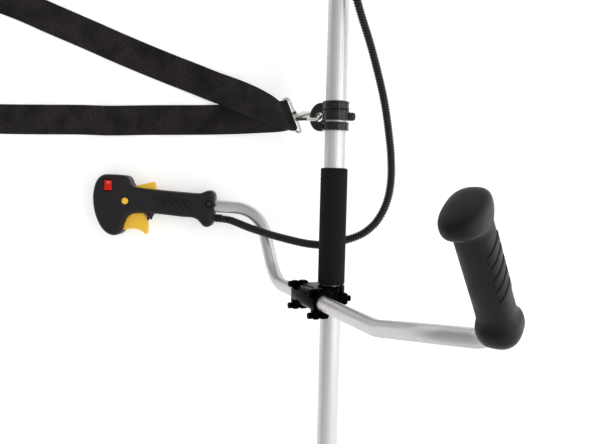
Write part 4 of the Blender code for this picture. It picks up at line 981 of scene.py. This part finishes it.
CASE_TOP = 0.036
CASE_SPLIT = 0.018
CASE_OUTLINE = [
    (-167, 37.4), (-178, 34.5), (-186, 24), (-189.5, 4), (-186.5, -19.5), (-179, -38.5),
    (-169, -51.5), (-157, -57.2), (-147, -55.3), (-141, -48.5), (-139.3, -38.5), (-134.4, -27.3),
    (-126.5, -21.4), (-115, -19.6), (-94, -18.9), (-76, -19.2), (-50, -20.4), (-33.5, -20.4),
    (-24, -24), (-16.6, -31.4), (-10.2, -33.5), (-4, -30.8), (-1.2, -24), (0, -8), (-0.2, 10),
    (-1.6, 18.8), (-6.2, 23.2), (-12.3, 23.4), (-19, 20.4), (-28, 18), (-60, 18), (-94, 18.8),
    (-122, 20.6), (-130.5, 24.6), (-134.4, 32), (-138.8, 36.5), (-147, 37.4),
]
BUTTON_POINT = (-0.1382, -0.002)
SCREW_POINT = (-0.0085, 0.003)
SWITCH_POINT = (-0.1652, 0.0205)
SWITCH_SIZE = (0.0125, 0.017)
CABLE_POINT = (0.0, -0.019, CASE_SPLIT)


def case_half(low, high, round_low, round_high, cutters):
    """One shell of the throttle handle, between two heights."""
    return cut(plate(smooth_outline(CASE_OUTLINE), low, high, round_low, round_high, 7), *cutters)


def throttle_case():
    """The two shells with their openings, finger flutes, lugs and a rim round the screw."""
    half = 0.0075
    slots = [plate([(x * MM, y * MM) for x, y in points], CASE_SPLIT - half, CASE_SPLIT + half)
             for points in ([(-141.5, 0), (-141.5, -40), (-142.5, -56), (-136, -70), (-82, -70),
                             (-82, -12), (-92, -1)],
                            [(-131, 6), (-94.5, 4), (-94.5, 45), (-129, 45), (-129, 22)])]
    (sx, sy), (cx, cy) = SWITCH_SIZE, SWITCH_POINT
    recess = block((cx - sx / 2 - 0.0012, cy - sy / 2 - 0.0012, 0.0235),
                   (cx + sx / 2 + 0.0012, cy + sy / 2 + 0.0012, 0.05), 0.001)
    button = rod((*BUTTON_POINT, 0.029), (*BUTTON_POINT, 0.05), 0.0058, 40)
    screw = rod((*SCREW_POINT, 0.0325), (*SCREW_POINT, 0.05), 0.0058, 40)
    upper = case_half(CASE_SPLIT + 0.00025, CASE_TOP, 0.0004, 0.007,
                      [*slots, recess, button, screw])
    piece("case_top", upper, "handle", ["throttle_case_upper"], where="throttle", angle=30)
    lower = case_half(0, CASE_SPLIT - 0.00025, 0.007, 0.0004, slots)
    piece("case_bottom", lower, "handle", ["throttle_case_lower"], where="throttle", angle=30)
    nub = smooth_outline([(-107.0, -17), (-104.4, -22.5), (-103.4, -28.6), (-102.0, -30.2),
                          (-100.4, -28.4), (-98.8, -23), (-95.0, -17)])
    lugs = [plate(nub, CASE_SPLIT + z, CASE_SPLIT + z + 0.0034, 0.001, 0.001, 3)
            for z in (0.0077, -0.0111)]
    piece("case_nub", merged(*lugs), "handle", where="throttle")
    flutes = [flute(-83 + 11.0 * i) for i in range(5)]
    piece("case_flutes", merged(*flutes), "handle", where="throttle")
    rim = turned([(6.2, 37.2), (7.4, 38), (9, 37.6), (10.1, 36), (10.1, 34.5), (5.9, 34.5)],
                 (*SCREW_POINT, 0), Z, 44)
    piece("screw_rim", rim, "handle", where="throttle")


def flute(x):
    """A shallow wave across the handle, for the fingers."""
    steps, height, half_width, sunk = 20, 0.0029, 0.0031, 0.0003
    line = [Vector((x + 3.4 * sin(t * 2.6) + 5.5 * t, -11.5 * t, 0)) * MM
            for t in [2 * i / steps - 1 for i in range(steps + 1)]]
    rows = []
    for i, point in enumerate(line):
        ahead = (line[min(i + 1, steps)] - line[max(i - 1, 0)]).normalized()
        across = Vector((ahead.y, -ahead.x, 0)) * half_width
        taper = sin(pi * (i + 0.4) / (steps + 0.8)) ** 0.5
        crest = point + Z * (CASE_TOP - sunk)
        rows.append([crest + taper * (across * w + Z * height * (1 - w * w) ** 0.8)
                     for w in [k / 4 - 1 for k in range(9)]])
    return skinned(rows, closed=False)


def throttle_controls():
    """What moves in the handle, the screw, the switch's bezel and the cable's boot."""
    half = 0.0069
    blade = [(-136.5, -8), (-128, -8), (-118, -14), (-110.5, -20.5), (-107.0, -27),
             (-104.6, -37), (-104.1, -45), (-104.6, -51), (-105.8, -52.4), (-107.6, -51),
             (-111.2, -47.8), (-117.5, -45.4), (-124.4, -44.8), (-132.5, -46), (-139.8, -48.0),
             (-140.6, -47.2), (-139.4, -38), (-136.6, -30), (-138, -20)]
    wedge = [(-129.5, 13), (-128.5, 20), (-126.5, 22.2), (-112.8, 26), (-100.6, 30.0),
             (-98.4, 30.2), (-97.0, 28.8), (-94.9, 19), (-95.2, 13.2), (-110, 12)]
    for name, outline, rim, node, body in (
            ("trigger_blade", blade, 0.0022, "throttle_trigger", "trigger"),
            ("lockout_wedge", wedge, 0.0016, "throttle_lockout", "lockout")):
        mesh = plate(smooth_outline(outline, 3), CASE_SPLIT - half, CASE_SPLIT + half, rim, rim, 4)
        piece(name, mesh, "yellow_plastic", [node], body, "throttle", 40)
    button = turned([(0, 37.4), (3, 37.3), (4.4, 36.9), (5.1, 36), (5.3, 34.5), (5.3, 32.5),
                     (0, 32.5)], (*BUTTON_POINT, 0), Z, 48)
    piece("lock_button_cap", button, "yellow_plastic", ["throttle_lock_button"], "lock_button",
          "throttle")
    screw = turned([(0, 33.8), (1.6, 33.8), (1.6, 35), (3, 35), (4.6, 34.2), (4.6, 32.8),
                    (0, 32.8)], (*SCREW_POINT, 0), Z, 40)
    piece("case_screw_head", screw, "black_metal", ["case_screw"], where="throttle")

    sx, sy = SWITCH_SIZE[0] / 2, SWITCH_SIZE[1] / 2
    cx, cy = SWITCH_POINT
    sides = [(y * MM, z * MM) for y, z in [(-7.2, -5.0), (7.0, -5.0), (7.4, 1.2), (6.3, 1.0),
                                           (0.8, 0.1), (0, 0.05), (-0.8, 0.2), (-6.4, 2.1),
                                           (-7.6, 2.6)]]
    rocker = plate(sides, -sx + 0.0004, sx - 0.0004, 0.0005, 0.0005, 2)
    stand = Matrix(((0, 0, 1), (1, 0, 0), (0, 1, 0))).to_4x4()
    stand.translation = (cx, cy, 0.0362)
    piece("stop_rocker", moved(rocker, stand), "red_plastic", ["stop_switch"], "rocker",
          "throttle")
    mark = turned([(0.9, 0.8), (1.4, 0.8), (1.4, 0), (0.9, 0)], (cx, cy + 0.0042, 0.0362), Z, 28)
    piece("rocker_marks", mark, "pale_mark", body="rocker", where="throttle")
    rim, gap = 0.0022, 0.0006
    bezel = cut(block((cx - sx - rim, cy - sy - rim, 0.034),
                      (cx + sx + rim, cy + sy + rim, 0.037), 0.0008),
                block((cx - sx, cy - sy - gap, 0.02), (cx + sx, cy + sy + gap, 0.05)))
    piece("switch_bezel", bezel, "black_plastic", where="throttle")

    rings = [(5.2, 12)]
    for top in (11.2, 7.8, 4.4):
        rings += [(6.4, top), (6.4, top - 1.8), (5.6, top - 2.2), (5.6, top - 3)]
    boot = turned(rings + [(6.4, 0.6), (5.2, 0.4), (3, 0.4), (3, 12)], CABLE_POINT, X, 40)
    piece("cable_ferrule", boot, "rubber", ["cable_boot"], where="throttle")


# Engine: small pieces that the CAD leaves out


def engine_details():
    """Screws of the covers, the plug's lead and the two fuel lines."""
    heads = [capscrew(place, axis, 6) for place, axis in
             [((x, 0.7065 + 0.0312, z), Y) for x in (-0.036, 0.036) for z in (-0.041, 0.036)]
             + [((0.124, y, z), X) for y in (0.655, 0.721) for z in (0.036, 0.084)]]
    piece("engine_screws", merged(*heads), "steel", where="machine")
    lead = smooth_route([(0, 0.612, 0.086), (0, 0.602, 0.085), (0.012, 0.599, 0.072),
                         (0.03, 0.606, 0.056), (0.04, 0.622, 0.042),
                         (0.0405, 0.636, 0.033)], 0.003)
    piece("plug_lead", swept(lead, 0.0033), "rubber", where="machine")
    for number, shift in enumerate((-0.006, 0.006), start=1):
        line = smooth_route([(x + shift, y, z) for x, y, z in (
            (0.064, 0.712, 0.04), (0.064, 0.723, 0.03), (0.062, 0.722, 0.0000),
            (0.056, 0.708, -0.035), (0.052, 0.696, -0.062))], 0.003)
        piece(f"fuel_line_{number}", swept(line, 0.0022), "nylon_line", where="machine")


def starter_rope():
    """The rope runs out of the housing."""
    line = [Vector((0.03, 0.78, 0.03 + 0.0002 * i)) for i in range(186)]
    mesh = hose(line, [0.0019 + 0.0002 * (i % 4 < 2) for i in range(len(line))], 12)
    rope = placed("starter_rope", mesh, "rope", "machine", 180)
    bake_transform(rope)


# The finish of some slots and of some single nodes; the others have their slot's own
SLOT_FINISHES = {"aluminium": "cast", "nylon": "nylon_line"}
NODE_FINISHES = {"drive_tube": "tube", "muffler": "muffler"}
SOFT_EDGES = 0.0009


def cad_nodes():
    """Gives each CAD node that stays its finish, smooth shading and softened edges."""
    slots = {part["node"]: part["material_slot"] for part in frame["record"]["subparts"]}
    for name, node in frame["nodes"].items():
        slot = slots[name]
        dress(node.data, NODE_FINISHES.get(name) or SLOT_FINISHES.get(slot, slot), 40)
        if not node.hide_render and name != "drive_tube":
            bevel = node.modifiers.new("soft_edges", "BEVEL")
            bevel.width = SOFT_EDGES
            bevel.segments = 2
            bevel.limit_method = "ANGLE"
            bevel.angle_limit = radians(40)
            bevel.harden_normals = False


camera()
build_finishes()
throttle_cable()
studio()
foam_sleeve()
hanger()
snap_hook()
swivel_ring()
harness()
shoulder_pad()
handlebar()
clamp()
plain_grip()
throttle_case()
throttle_controls()
engine_details()
starter_rope()
cad_nodes()
